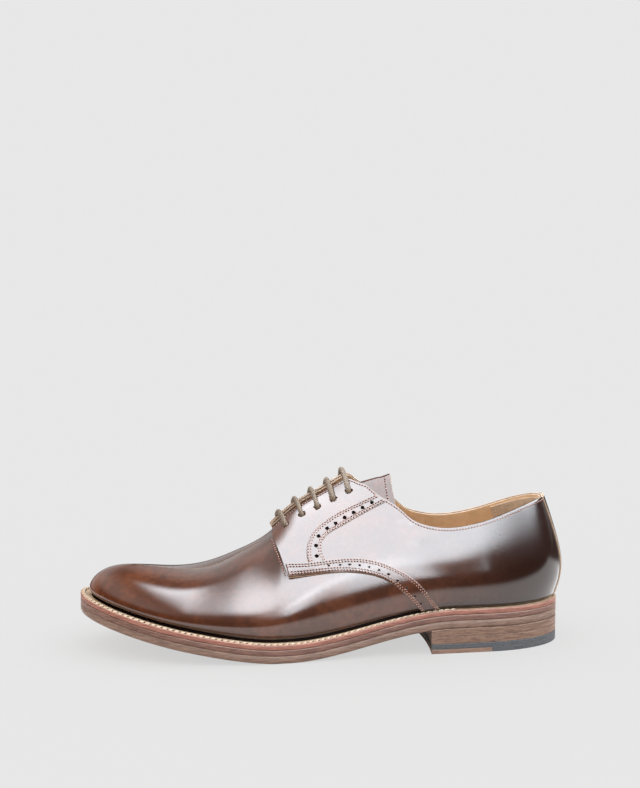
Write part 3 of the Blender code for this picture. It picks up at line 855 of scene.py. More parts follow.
def bumped(tree, shader, height, strength, distance, under=None, socket="Normal"):
    """Bump of one height, laid over another normal when one is given."""
    sockets = {"Height": height, "Strength": strength, "Distance": distance}
    bump = add(tree, "ShaderNodeBump", sockets)
    if under is not None:
        tree.links.new(under, bump.inputs["Normal"])
    tree.links.new(bump.outputs["Normal"], shader.inputs[socket])


def two_tone(tree, shader, value, low, high, dark, light):
    """Base colour that goes from one tone to another as a value rises."""
    tree.links.new(blend(tree, ramp(tree, value, low, high), dark, light), shader.inputs["Base Color"])


def group_node(tree, group, **values):
    node = add(tree, "ShaderNodeGroup")
    node.node_tree = group
    for key, value in values.items():
        node.inputs[key.replace("_", " ")].default_value = value
    return node


# Places along the shoe, in metres, between which the calf's colour fades and the quarters' shading leans
TOE_FADE = (-0.040, -0.135)
HEEL_FADE = (0.035, 0.135)
LEAN_SPAN = (0.016, -0.034)
LEAN_DOWN = 0.7
BUMP_DEPTH = 0.00025
CALF_BROWN = (0.145, 0.0470, 0.0220)
CALF_DARK = (0.024, 0.0066, 0.0032)
CALF_CHESTNUT = (0.200, 0.0560, 0.0190)
# Near-black painted shade for the calf in the crevice along the welt
CALF_WELT_SHADE = (0.006, 0.0026, 0.0018)


def calf_material(name="polished_calf", lean=0.0, coat=1.0):
    """Hand-polished calf: chestnut at the toe, dark at the heel, and painted almost black along the welt as
    the shade of the crevice there.
    """
    made, tree, shader = principled(name, 0.34, coat=coat, coat_roughness=0.12, specular=0.03, coat_ior=1.62)
    grain = group_node(tree, GRAIN).outputs
    along = add(tree, "ShaderNodeSeparateXYZ", {0: object_place(tree)}).outputs["X"]
    colour = blend(tree, ramp(tree, along, *TOE_FADE), CALF_BROWN, CALF_CHESTNUT)
    colour = blend(tree, ramp(tree, along, *HEEL_FADE), colour, CALF_DARK)
    darker = blend(tree, 0.55, colour, CALF_DARK)
    colour = blend(tree, ramp(tree, grain["Mottle"], 0.40, 0.66), darker, colour)
    foot = add(tree, "ShaderNodeAttribute", attribute_name="foot").outputs["Fac"]
    # Painted shade: the calf turns near black within a few millimetres of the welt, with a mottled edge
    welt_shade_reach = calc(tree, "ADD", foot, calc(tree, "MULTIPLY", grain["Mottle"], 2.0))
    colour = blend(tree, ramp(tree, welt_shade_reach, 1.0, 7.5), CALF_WELT_SHADE, colour)
    tree.links.new(colour, shader.inputs["Base Color"])
    dull = calc(tree, "ADD", 0.26, calc(tree, "MULTIPLY", grain["Mottle"], 0.16))
    tree.links.new(dull, shader.inputs["Roughness"])
    tilt = add(tree, "ShaderNodeVectorMath", {0: (lean, 0.0, -LEAN_DOWN * lean)}, operation="SCALE")
    tree.links.new(ramp(tree, along, *LEAN_SPAN), tilt.inputs["Scale"])
    facing = add(tree, "ShaderNodeNewGeometry").outputs["Normal"]
    facing = add(tree, "ShaderNodeVectorMath", {0: facing, 1: tilt.outputs[0]}, operation="ADD").outputs[0]
    facing = add(tree, "ShaderNodeVectorMath", {0: facing}, operation="NORMALIZE").outputs[0]
    bumped(tree, shader, grain["Height"], 0.32, BUMP_DEPTH, facing)
    bumped(tree, shader, grain["Height"], 0.08, BUMP_DEPTH, facing, "Coat Normal")
    return made


def fibre_material(name, light, dark, roughness=0.5, fineness=1.0):
    """Cut or sanded leather with streaks of two colours."""
    made, tree, shader = principled(name, roughness, coat_roughness=0.25, specular=0.25)
    fibres = group_node(tree, FIBRES, Fineness=fineness).outputs
    two_tone(tree, shader, fibres["Streak"], 0.36, 0.62, dark, light)
    bumped(tree, shader, fibres["Height"], 0.35, 0.0002)
    return made


def smooth_leather_material(name, light, dark, roughness=0.5, bump=0.12, pore_scale=1100.0, sheen=0.0):
    """Undyed lining leather or suede with a slow mottle and a fine surface."""
    made, tree, shader = principled(name, roughness, sheen=sheen)
    grain = group_node(tree, GRAIN, Pore_Scale=pore_scale).outputs
    two_tone(tree, shader, grain["Mottle"], 0.38, 0.64, dark, light)
    bumped(tree, shader, grain["Height"], bump, 0.0003)
    return made


def thread_material(name, light, dark):
    """Twisted waxed thread."""
    made, tree, shader = principled(name, 0.6, sheen=0.2)
    twist = noise(tree, object_place(tree), 2600.0, 2.0)
    two_tone(tree, shader, twist, 0.38, 0.62, dark, light)
    bumped(tree, shader, twist, 0.4, 0.0001)
    return made


def rubber_material():
    """Dark grey rubber with a matt, faintly speckled surface."""
    made, tree, shader = principled("heel_rubber", 0.62)
    speck = noise(tree, object_place(tree), 900.0, 4.0)
    two_tone(tree, shader, speck, 0.4, 0.6, (0.036, 0.036, 0.039), (0.062, 0.062, 0.067))
    bumped(tree, shader, speck, 0.25, 0.0002)
    return made


def cord_material():
    """Waxed cotton cord: a fine braid that runs round the cord and along it."""
    made, tree, shader = principled("waxed_cord", 0.6, specular=0.25)
    along = add(tree, "ShaderNodeUVMap", uv_map="braid").outputs["UV"]
    waves = []
    for lean in (1.0, -1.0):
        sockets = {"Vector": stretched(tree, along, (1.0, lean, 1.0)), "Scale": 0.55, "Distortion": 0.4}
        waves.append(add(tree, "ShaderNodeTexWave", sockets, bands_direction="DIAGONAL").outputs["Fac"])
    braid = calc(tree, "MAXIMUM", *waves)
    two_tone(tree, shader, braid, 0.35, 0.95, (0.110, 0.078, 0.054), (0.310, 0.230, 0.165))
    bumped(tree, shader, braid, 0.5, 0.0003)
    return made


def painted_shade_material():
    """Near-black painted shade: inside needle holes and punched holes, in the crevice along the welt, and
    along the collar's cut edge.
    """
    made, tree, shader = principled("painted_shade_black", 0.9, specular=0.05)
    speck = noise(tree, object_place(tree), 800.0)
    colour = blend(tree, speck, (0.003, 0.0015, 0.0012), (0.009, 0.004, 0.003))
    tree.links.new(colour, shader.inputs["Base Color"])
    return made


CALF = calf_material()
QUARTER_CALF = calf_material("quarter_calf", lean=0.3)
RAW_EDGE = fibre_material("raw_edge", (0.840, 0.640, 0.480), (0.600, 0.400, 0.270), 0.55, 1.5)
LINING = smooth_leather_material("tan_lining", (0.910, 0.660, 0.400), (0.800, 0.540, 0.300))
SUEDE = smooth_leather_material(
    "suede_heel_grip", (0.744, 0.558, 0.378), (0.507, 0.365, 0.237), 0.9, 0.5, pore_scale=2200.0, sheen=0.4
)
WELT_TOP = fibre_material("welt_top", (0.800, 0.580, 0.400), (0.560, 0.370, 0.230))
WELT_EDGE = fibre_material("welt_edge", (0.470, 0.200, 0.145), (0.270, 0.108, 0.076))
LIGHT_LINE = fibre_material("layer_line", (0.400, 0.260, 0.190), (0.240, 0.145, 0.105))
MIDSOLE_EDGE = fibre_material("midsole_edge", (0.280, 0.145, 0.110), (0.160, 0.080, 0.062))
OUTSOLE_EDGE = fibre_material("outsole_edge", (0.330, 0.205, 0.152), (0.185, 0.110, 0.082))
SOLE_UNDER = smooth_leather_material("sole_underside", (0.400, 0.240, 0.140), (0.280, 0.160, 0.084), bump=0.2)
HEEL_STACK = fibre_material("heel_stack", (0.330, 0.200, 0.138), (0.165, 0.092, 0.064))
HEEL_TIP = fibre_material("heel_tip", (0.370, 0.230, 0.165), (0.240, 0.145, 0.105))
RUBBER = rubber_material()
INSOLE = smooth_leather_material("insole_cover", (0.576, 0.312, 0.132), (0.432, 0.221, 0.086))
TONGUE_CALF = calf_material("tongue_calf", coat=0.55)
SEAM_THREAD = thread_material("seam_thread", (0.560, 0.240, 0.140), (0.300, 0.115, 0.070))
WELT_THREAD = thread_material("welt_thread", (0.860, 0.700, 0.520), (0.600, 0.430, 0.290))
LINING_THREAD = thread_material("lining_thread", (0.550, 0.308, 0.136), (0.374, 0.187, 0.075))
CORD = cord_material()
# Near-black that stands in for shade in holes, crevices and joins
SHADE_BLACK = painted_shade_material()


# Panels of the upper

QUARTER_COLUMNS = 230
CORNER_COLUMNS = 46
QUARTER_ROWS = 54
VAMP_COLUMNS = 190
VAMP_ROWS = 56
VAMP_END = 79.0
SEAM_MERGE = 2e-4

# Front corner of the quarter: stations it is looked for between, where close columns end, its least height
CORNER_SEARCH = (188.0, 150.0)
CORNER_END = 171.0
CORNER_GAP = 0.05


def quarter_span(side):
    """Places along a side that the quarter covers, from its front corner to the back seam."""
    search = np.linspace(*place_at(CORNER_SEARCH), 400)
    gap = quarter_top(side, search) - quarter_bottom(side, search)
    front = search[np.argmax(gap > CORNER_GAP)]
    turn = float(place_at(CORNER_END))
    close = np.linspace(front, turn, CORNER_COLUMNS)
    return np.concatenate([close, np.linspace(turn, 1.0, QUARTER_COLUMNS)[1:]])


def panel(name, side_grids, materials, lifted):
    """An open sheet of leather from grids of (side, t, q, offset)."""
    points, faces, foot = [], [], []
    for side, t, q, offset in side_grids:
        grid = leather_point(side, t, q, offset, lifted)
        start = sum(len(block) for block in points)
        faces += grid_faces(*t.shape, flip=side == "medial", start=start)
        points.append(grid.reshape(-1, 3))
        foot.append((grid[..., 2] - last_point(side, t, 0 * q)[..., 2]).ravel())
    obj = mesh_object(name, np.concatenate(points), faces, materials, foot=np.concatenate(foot))
    merged(obj)
    return obj


def quarter_panels():
    """The two quarters with lined insides, raw edges and punched eyelets."""
    eyelets = eyelet_punch()
    for side in SIGN:
        t = quarter_span(side)
        low = quarter_bottom(side, t)
        high = quarter_top(side, t)
        q = low[:, None] + (high - low)[:, None] * np.linspace(0, 1, QUARTER_ROWS)
        grid = (side, np.broadcast_to(t[:, None], q.shape), q, QUARTER_OUT)
        quarter = panel("quarter_" + side, [grid], (QUARTER_CALF, LINING, RAW_EDGE), True)
        walled(quarter, QUARTER_OUT - QUARTER_IN)
        carve(quarter, eyelets)
        finished(quarter, "calf", "upper")
    bpy.data.objects.remove(eyelets)


def vamp_panel():
    """The vamp over the toe, running back under the quarters."""
    grids = []
    for side in SIGN:
        t = np.linspace(0, float(place_at(VAMP_END)), VAMP_COLUMNS)
        q = vamp_top(side, t)[:, None] * np.linspace(0, 1, VAMP_ROWS)
        grids.append((side, np.broadcast_to(t[:, None], q.shape), q, 0.0))
    vamp = panel("vamp", grids, (CALF, LINING, RAW_EDGE), False)
    walled(vamp, VAMP_WALL)
    finished(vamp, "calf", "upper")


def back_strip():
    """Narrow strip over the back seam, from the collar to the welt."""
    grids = []
    for side in SIGN:
        top = float(quarter_top(side, np.array([0.999]))[0])
        q = np.linspace(0.0, top, 60)

        def narrow(t):
            return BACK_STRIP_HALF - SIGN[side] * last_point(side, t, q, True)[..., 1]

        edge = root_in(np.full_like(q, 0.8), 1.0, narrow)
        t = edge + (1 - edge) * np.linspace(0, 1, 9)[:, None]
        grids.append((side, t, np.broadcast_to(q, t.shape), BAND_OUT))
    strip = panel("back_strip_calf", grids, (CALF, CALF, RAW_EDGE), True)
    merged(strip, SEAM_MERGE)
    walled(strip, BAND_THICKNESS, 0.2)
    finished(strip, "calf", "back_strip")


# Suede heel grip: station of its front edge, its lowest place on the wall, how far it ends below the collar
GRIP_FRONT = 30.4
GRIP_LOW = 0.06
GRIP_BELOW = 0.012
GRIP_ROWS = (0.006, 0.012)


def heel_grip():
    """Suede lining inside the heel, with its front seam."""
    rows = []
    grids = []
    for side in SIGN:
        t = np.linspace(float(place_at(GRIP_FRONT)), 1.0, 60)
        high = quarter_top(side, t)
        q = GRIP_LOW + (high - GRIP_BELOW - GRIP_LOW)[:, None] * np.linspace(0, 1, 40)
        grids.append((side, np.broadcast_to(t[:, None], q.shape), q, QUARTER_IN - 0.05))
        for inset in GRIP_ROWS:
            line_t = np.full(40, t[0] + inset)
            place = leather_point(side, line_t, q[0], QUARTER_IN - 0.75, True)
            rows.append((place, -last_normal(side, line_t, q[0], True)))
    grip = panel("heel_grip", grids, (SUEDE, SUEDE, RAW_EDGE), True)
    merged(grip, SEAM_MERGE)
    walled(grip, 0.7, 0.2)
    finished(grip, "insole", "upper")
    finished(stitch_rows("heel_grip_stitches", rows, GRIP_STITCH, LINING_THREAD), "insole")


# Brogue band

BAND_ACROSS = 13
BAND_EDGE_INSET = 0.5
BAND_UNDER_COLLAR = 0.35
BAND_OVER_WELT = 0.6


def band_lines():
    """Edges of the band in side view: the upper arm's two edges, then the lower arm's two."""
    outer, inner, arm, lower = (traced(rows) for rows in (BAND_OUTER, BAND_INNER, BAND_ARM, QUARTER_LOWER))
    lower[:, 1] += BAND_EDGE_INSET
    above_arm = [line[line[:, 1] < collar_height(line[:, 0]) - BAND_UNDER_COLLAR] for line in (outer, inner)]
    below_arm = [line[line[:, 1] > upper_bottom(line[:, 0]) + BAND_OVER_WELT] for line in (arm, lower)]
    return above_arm + below_arm


def ruled(first, second, across):
    """A strip of points between two lines of equal count."""
    share = np.linspace(0, 1, across)[None, :, None]
    return first[:, None] * (1 - share) + second[:, None] * share


def band_strips():
    """The two arms of the band as grids of (station, height) points that meet along one shared line."""
    outer, inner, arm, lower = band_lines()
    steps = 110
    upper_arm = ruled(resampled(outer, steps), resampled(inner, steps), BAND_ACROSS)
    tab = resampled(np.array([BAND_TAB_FRONT, tuple(outer[-1])]), 14)
    corner = upper_arm[-1]
    arm_points = resampled(arm, 90)
    top = np.concatenate([tab, corner[1:], arm_points[1:]])
    breaks = [outer[-1][0], inner[-1][0]]
    cuts = [int(np.argmin(abs(lower[:, 0] - station))) for station in breaks]
    pieces = [lower[: cuts[0] + 1], lower[cuts[0] : cuts[1] + 1], lower[cuts[1] :]]
    counts = [len(tab), len(corner), len(arm_points)]
    bottom = [resampled(piece, count) for piece, count in zip(pieces, counts)]
    bottom[0][:, 0] -= np.linspace(0.5, 0, counts[0])
    bottom = np.concatenate([bottom[0], bottom[1][1:], bottom[2][1:]])
    lower_arm = ruled(top, bottom, BAND_ACROSS)
    return upper_arm, lower_arm


def perforations(name, side, offset, widen, depth):
    """Pins at the perforations of one band, as one mesh."""
    rows = []
    for line, radius in ((LARGE_HOLES, LARGE_HOLE_RADIUS), (PINHOLES, PINHOLE_RADIUS)):
        t, q = from_side(side, np.stack([line["station"], line["height"]], -1))
        rows.append((*on_surface(side, t, q, offset), radius * widen))
    return pins(name, rows, depth, SHADE_BLACK)


def brogue_bands():
    """Punched bands on both quarters, with near-black floors in their holes, painted as the shade inside them.
    """
    strips = band_strips()
    for side in SIGN:
        grids = [(side, *from_side(side, strip), BAND_OUT) for strip in strips]
        band = panel("brogue_band_calf_" + side, grids, (QUARTER_CALF, QUARTER_CALF, RAW_EDGE), True)
        with mesh_work(band) as work:
            bmesh.ops.remove_doubles(work, verts=work.verts, dist=2e-5)
            bmesh.ops.recalc_face_normals(work, faces=work.faces)
            outward = sum(face.normal.y * face.calc_area() for face in work.faces)
            if outward * SIGN[side] < 0:
                bmesh.ops.reverse_faces(work, faces=work.faces)
        walled(band, BAND_THICKNESS, 0.18)
        cutter = perforations("punch_" + side, side, QUARTER_OUT + BAND_THICKNESS * 0.5, 1.0, 2.4)
        carve(band, cutter)
        bpy.data.objects.remove(cutter)
        finished(band, "calf", "brogue_band_" + side)
        # Near-black discs under the band's holes: painted shade in the perforations
        finished(perforations("perforation_shade_" + side, side, QUARTER_OUT + 0.05, 1.15, 0.12), "calf")


# Geometry Nodes for what repeats along a path


def tree_with(name, inputs):
    """A geometry tree with a Geometry input and output and named number inputs."""
    tree = bpy.data.node_groups.new(name, "GeometryNodeTree")
    tree.interface.new_socket("Geometry", in_out="INPUT", socket_type="NodeSocketGeometry")
    for label, kind in inputs.items():
        tree.interface.new_socket(label, in_out="INPUT", socket_type=kind)
    tree.interface.new_socket("Geometry", in_out="OUTPUT", socket_type="NodeSocketGeometry")
    return tree, tree.nodes.new("NodeGroupInput"), tree.nodes.new("NodeGroupOutput")


def surface_turn(tree):
    """Rotation with X along the path and Z away from the surface."""
    along = add(tree, "GeometryNodeInputTangent").outputs[0]
    facing = add(tree, "GeometryNodeInputNamedAttribute", {"Name": "surface"}, data_type="FLOAT_VECTOR")
    first = add(tree, "FunctionNodeAlignRotationToVector", {"Vector": along}, axis="X")
    sockets = {"Rotation": first.outputs[0], "Vector": facing.outputs["Attribute"]}
    return add(tree, "FunctionNodeAlignRotationToVector", sockets, axis="Z", pivot_axis="X").outputs[0]


def laid_out(tree, points, shape, look, **sockets):
    """Copies of a shape on points, made real, in one material."""
    sockets.update(Points=points, Instance=shape)
    copies = add(tree, "GeometryNodeInstanceOnPoints", sockets).outputs[0]
    real = add(tree, "GeometryNodeRealizeInstances", {"Geometry": copies}).outputs[0]
    return add(tree, "GeometryNodeSetMaterial", {"Geometry": real, "Material": look}).outputs[0]


def beads(tree, given, path, faces, size, turn, look):
    """Beads of one size, a pitch apart along a path; faces are those round a bead and those up it."""
    sockets = {"Curve": path, "Length": given.outputs["Pitch"]}
    spaced = add(tree, "GeometryNodeResampleCurve", sockets, mode="LENGTH").outputs[0]
    ball = add(tree, "GeometryNodeMeshUVSphere", {"Segments": faces[0], "Rings": faces[1], "Radius": 0.5})
    scale = add(tree, "ShaderNodeCombineXYZ", dict(zip("XYZ", size))).outputs[0]
    bead = add(tree, "GeometryNodeTransform", {"Geometry": ball.outputs["Mesh"], "Scale": scale}).outputs[0]
    return laid_out(tree, spaced, bead, given.outputs[look], Rotation=turn)


def stitch_tree():
    """Stitches laid end to end along a seam, with a near-black bead between each two, painted as the shade in
    the needle hole.
    """
    floats = dict.fromkeys(("Pitch", "Length", "Width", "Slant"), "NodeSocketFloat")
    looks = dict.fromkeys(("Thread", "Hole"), "NodeSocketMaterial")
    tree, given, result = tree_with("stitch_row", {**floats, **looks})
    length, width = given.outputs["Length"], given.outputs["Width"]
    path = add(tree, "GeometryNodeMeshToCurve", {"Mesh": given.outputs["Geometry"]}).outputs[0]
    straight = surface_turn(tree)
    slant = add(tree, "FunctionNodeAxisAngleToRotation", {"Axis": (0, 0, 1), "Angle": given.outputs["Slant"]})
    sockets = {"Rotation": straight, "Rotate By": slant.outputs[0]}
    slanted = add(tree, "FunctionNodeRotateRotation", sockets, rotation_space="LOCAL").outputs[0]
    threads = beads(tree, given, path, (8, 5), (length, width, width), slanted, "Thread")
    trimmed = add(tree, "GeometryNodeTrimCurve", {"Curve": path}, mode="LENGTH")
    ends = {socket.name: socket for socket in trimmed.inputs if socket.enabled}
    tree.links.new(calc(tree, "MULTIPLY", given.outputs["Pitch"], 0.5), ends["Start"])
    ends["End"].default_value = 100.0
    # The holes are flat dark beads on the surface: painted shade, not openings
    wide = calc(tree, "MULTIPLY", width, 1.25)
    flat = calc(tree, "MULTIPLY", width, 0.5)
    holes = beads(tree, given, trimmed.outputs[0], (6, 4), (wide, wide, flat), straight, "Hole")
    both = add(tree, "GeometryNodeJoinGeometry")
    tree.links.new(threads, both.inputs[0])
    tree.links.new(holes, both.inputs[0])
    smooth = add(tree, "GeometryNodeSetShadeSmooth", {"Geometry": both.outputs[0]})
    tree.links.new(smooth.outputs[0], result.inputs[0])
    return tree


def pin_tree():
    """A round pin at each point, along the surface direction there."""
    tree, given, result = tree_with("pins", {"Depth": "NodeSocketFloat", "Look": "NodeSocketMaterial"})
    sockets = {"Vertices": 18, "Radius": 1.0, "Depth": given.outputs["Depth"]}
    rod = add(tree, "GeometryNodeMeshCylinder", sockets)
    facing = add(tree, "GeometryNodeInputNamedAttribute", {"Name": "surface"}, data_type="FLOAT_VECTOR")
    turn = add(tree, "FunctionNodeAlignRotationToVector", {"Vector": facing.outputs["Attribute"]}, axis="Z")
    wide = add(tree, "GeometryNodeInputNamedAttribute", {"Name": "radius_of_pin"}, data_type="FLOAT")
    wide = wide.outputs["Attribute"]
    scale = add(tree, "ShaderNodeCombineXYZ", {"X": wide, "Y": wide, "Z": 1.0})
    turns = {"Rotation": turn.outputs[0], "Scale": scale.outputs[0]}
    whole = laid_out(tree, given.outputs["Geometry"], rod.outputs[0], given.outputs["Look"], **turns)
    tree.links.new(whole, result.inputs[0])
    return tree


STITCH_TREE = stitch_tree()
PIN_TREE = pin_tree()

# Pitch, length and width of the stitches
UPPER_STITCH = (1.9, 1.15, 0.8)
# The rim beads overlap into a near-black line of painted shade along the collar's cut edge
RIM_SHADE_BEADS = (0.8, 1.1, 0.5)
TONGUE_STITCH = (1.9, 1.1, 0.75)
GRIP_STITCH = (2.2, 1.5, 0.5)
WELT_STITCH = (3.8, 3.9, 1.5)
WELT_STITCH_SLANT = 14.0


def grown(name, mesh, tree, values):
    """Run a geometry tree on a mesh and keep its result as a plain mesh."""
    obj = link(bpy.data.objects.new(name, mesh))
    modifier = obj.modifiers.new("Repeat", "NODES")
    modifier.node_group = tree
    for item in tree.interface.items_tree:
        if item.in_out == "INPUT" and item.name in values:
            modifier[item.identifier] = values[item.name]
    settle(obj)
    return obj


def guide_mesh(name, rows, edges):
    """Points with their surface directions, joined along each row where asked."""
    points = np.concatenate([to_world(row[0]) for row in rows])
    normals = np.concatenate([turned(row[1]) for row in rows])
    joins = []
    start = 0
    for row in rows:
        count = len(row[0])
        if edges:
            joins += [(start + i, start + i + 1) for i in range(count - 1)]
        start += count
    mesh = bpy.data.meshes.new(name)
    mesh.from_pydata([tuple(point) for point in points], joins, [])
    layer = mesh.attributes.new("surface", "FLOAT_VECTOR", "POINT")
    layer.data.foreach_set("vector", normals.astype(np.float32).ravel())
    return mesh


def stitch_rows(name, rows, size, thread, slant=0.0):
    """Rows of stitches, each row a (points, surface directions) pair and a size a (pitch, length, width)."""
    values = dict(zip(("Pitch", "Length", "Width"), np.array(size) * MM))
    values.update(Slant=math.radians(slant), Thread=thread, Hole=SHADE_BLACK)
    return grown(name, guide_mesh(name, rows, True), STITCH_TREE, values)


def pins(name, rows, depth, look):
    """Round pins at places on a surface, each row a (points, directions, radius) group in millimetres."""
    mesh = guide_mesh(name, rows, False)
    layer = mesh.attributes.new("radius_of_pin", "FLOAT", "POINT")
    radii = np.concatenate([np.full(len(row[0]), row[2] * MM) for row in rows])
    layer.data.foreach_set("value", radii.astype(np.float32))
    return grown(name, mesh, PIN_TREE, {"Depth": depth * MM, "Look": look})


# Seams of the upper


def on_surface(side, t, q, offset):
    """Points and directions of a row on a leather surface."""
    return leather_point(side, t, q, offset, True), last_normal(side, t, q, True)


def inside_edge(line, inset):
    """A (station, height) line moved sideways by an inset to its left as it runs."""
    ahead = np.gradient(line, axis=0)
    ahead /= np.linalg.norm(ahead, axis=1, keepdims=True)
    return line + inset * np.stack([-ahead[:, 1], ahead[:, 0]], -1)


# Rows of stitches: their distance from the edge, the columns of the quarter left free at the front corner,
# and the station where the front row ends
COLLAR_ROW_INSET = 1.7
FRONT_ROW_INSET = 1.5
BAND_ROW_INSETS = ((0.8, 2.1), (0.8, 2.0))
FRONT_ROW_START = {"lateral": 4, "medial": 22}
FRONT_ROW_END = 173.9


def quarter_seams():
    """Rows of stitches along the collar, the facing, the front edge and both edges of the band, and a line of
    painted shade along the collar's cut edge.
    """
    rows, rims = [], []
    strips = band_strips()
    on_quarter = QUARTER_OUT + 0.05
    on_band = QUARTER_OUT + BAND_THICKNESS + 0.08
    for side in SIGN:
        t = quarter_span(side)
        top = quarter_top(side, t)
        below = last_point(side, t, top - 0.02, True)
        step = np.linalg.norm(last_point(side, t, top, True) - below, axis=-1) / 0.02
        rows.append(on_surface(side, t[10:-3], (top - COLLAR_ROW_INSET / step)[10:-3], on_quarter))
        # A near-black line along the middle of the collar's cut edge, painted as the shade between calf and
        # lining
        rims.append(on_surface(side, t[10:-3], top[10:-3], (QUARTER_OUT + QUARTER_IN) / 2))
        front = (t < float(place_at(FRONT_ROW_END))) & (t > t[FRONT_ROW_START[side]])
        edge = last_point(side, t[front], quarter_bottom(side, t)[front], True)[:, [0, 2]]
        edge = inside_edge(edge, FRONT_ROW_INSET)
        rows.append(on_surface(side, *from_side(side, edge), on_quarter))
        for strip, insets in zip(strips, BAND_ROW_INSETS):
            width = np.linalg.norm(strip[:, -1] - strip[:, 0], axis=-1)[:, None]
            for inset in insets:
                for share in (inset / width, 1 - inset / width):
                    line = strip[:, 0] * (1 - share) + strip[:, -1] * share
                    line = resampled(line, 160)[2:-2]
                    rows.append(on_surface(side, *from_side(side, line), on_band))
    finished(stitch_rows("collar_edge_painted_shade", rims, RIM_SHADE_BEADS, SHADE_BLACK), "calf")
    finished(stitch_rows("upper_seams", rows, UPPER_STITCH, SEAM_THREAD), "calf")


# Tongue, lace and eyelets

TONGUE_ROW = -9
BRAID_TURNS = 9.0


def eyelet_places(side):
    row = np.arange(EYELET_COUNT)
    across = SIGN[side] * (EYELET_ACROSS - EYELET_TAPER * row)
    first = EYELET_FIRST if side == "lateral" else EYELET_FIRST + EYELET_LEAN
    return np.stack([first - EYELET_STEP * row, THROAT_CENTRE + across], -1)


def eyelet_punch():
    """Pins for all the eyelets."""
    rows = [(*from_above(eyelet_places(side)), EYELET_RADIUS) for side in SIGN]
    return pins("eyelet_punch", rows, 9.0, SHADE_BLACK)


def tongue_points(along, across):
    """Grid of the tongue's outer surface."""
    stations = np.linspace(TONGUE["station"].max(), TONGUE["station"].min(), along)
    shares = np.linspace(-1, 1, across)
    half, depth, drop = (column(TONGUE, name, stations)[:, None] for name in ("half", "depth", "drop"))
    slope = (column(RIDGE, "height", stations - 1) - column(RIDGE, "height", stations + 1)) / 2
    near_end = np.clip((TONGUE_END_START - stations) / (TONGUE_END_START - stations[-1]), 0, 1)[:, None]
    station = stations[:, None] + TONGUE_END_CURVE * (1 - shares**2) * near_end
    place = THROAT_CENTRE + half * shares
    points, _ = from_above(np.stack([station, place], -1), lifted=False)
    down = np.stack([slope, 0 * slope, 1 + 0 * slope], -1) / np.hypot(slope, 1.0)[:, None]
    points = points - down[:, None] * depth[..., None]
    points[..., 1] -= TONGUE_SQUEEZE * shares
    points[..., 2] -= drop
    for _ in range(TONGUE_SOFTENING):
        points[:, 1:-1, 2] = (points[:, :-2, 2] + 2 * points[:, 1:-1, 2] + points[:, 2:, 2]) / 4
    return points


def tongue():
    """Calf tongue with a raw edge and one row of stitches near its end."""
    along, across = 96, 49
    points = tongue_points(along, across)
    faces = grid_faces(along, across)
    foot = np.full(along * across, 40.0)
    looks = (TONGUE_CALF, LINING, RAW_EDGE)
    obj = mesh_object("tongue_calf_piece", points.reshape(-1, 3), faces, looks, foot=foot)
    walled(obj, TONGUE_THICKNESS, 0.4)
    finished(obj, "tongue", "tongue")
    line = points[TONGUE_ROW, 2:-2]
    row = resampled(line, 60)
    normal = np.cross(np.gradient(row, axis=0), line[:1] - points[TONGUE_ROW - 3, 2:-2][:1])
    normal /= np.linalg.norm(normal, axis=1, keepdims=True)
    normal *= np.sign(normal[:, 2:3])
    rows = [(row + normal * 0.05, normal)]
    finished(stitch_rows("tongue_stitches", rows, TONGUE_STITCH, SEAM_THREAD), "tongue")


def lace_route():
    """The lace: a bar over the facings, down through its eyelets, and a hidden run to the next row."""
    over = QUARTER_OUT + LACE_THICK - 0.1
    under = QUARTER_IN - LACE_THICK - 0.3
    path = []
    for row in range(EYELET_COUNT):
        order = ("lateral", "medial") if row % 2 == 0 else ("medial", "lateral")
        start, end = (eyelet_places(side)[row] for side in order)
        point, normal = from_above(np.linspace(start, end, 9))
        path += [point[0] + normal[0] * under, *(point + normal * over), point[-1] + normal[-1] * under]
    return np.array(path)


def eased(corners, reach=2.2, steps=7):
    """A path with each corner replaced by a short curve."""
    path = [corners[0]]
    for before, corner, after in zip(corners, corners[1:], corners[2:]):
        back = before - corner
        ahead = after - corner
        back = back * min(reach / np.linalg.norm(back), 0.48)
        ahead = ahead * min(reach / np.linalg.norm(ahead), 0.48)
        for share in np.linspace(0, 1, steps):
            path.append(corner + back * (1 - share) ** 2 + ahead * share**2)
    path.append(corners[-1])
    return np.array(path)


def cord_mesh(name, path, radius, look, sides=14):
    """A cord along a path, with a map for its braid: round the cord, and millimetres along it."""
    path = resampled(path, 420)
    ahead = np.gradient(path, axis=0)
    ahead /= np.linalg.norm(ahead, axis=1, keepdims=True)
    turn = np.linspace(0, 2 * np.pi, sides, endpoint=False)
    wide = radius[0] * np.cos(turn)[:, None]
    thick = radius[1] * np.sin(turn)[:, None]
    side = np.cross(ahead[0], (0, 0, 1.0))
    rings = []
    for point, direction in zip(path, ahead):
        side = side - direction * np.dot(side, direction)
        side = side / np.linalg.norm(side)
        rings.append(point + wide * side + thick * np.cross(direction, side))
    faces = ring_faces(len(path), sides) + end_caps(len(path), sides)
    obj = mesh_object(name, np.concatenate(rings), faces, (look,))
    faced_out(obj)
    layer = obj.data.uv_layers.new(name="braid")
    reach = reach_along(path)
    for polygon in obj.data.polygons:
        corners = [obj.data.loops[i].vertex_index for i in polygon.loop_indices]
        seam = {c % sides for c in corners} == {0, sides - 1}
        for i, c in zip(polygon.loop_indices, corners):
            around = sides if seam and c % sides == 0 else c % sides
            layer.data[i].uv = (around / sides * BRAID_TURNS, reach[c // sides])
    return obj


def lace():
    """The waxed lace through all its eyelets."""
    obj = cord_mesh("waxed_lace", eased(lace_route()), (LACE_WIDE, LACE_THICK), CORD)
    finished(obj, "cord", "lace")


# Sole and heel

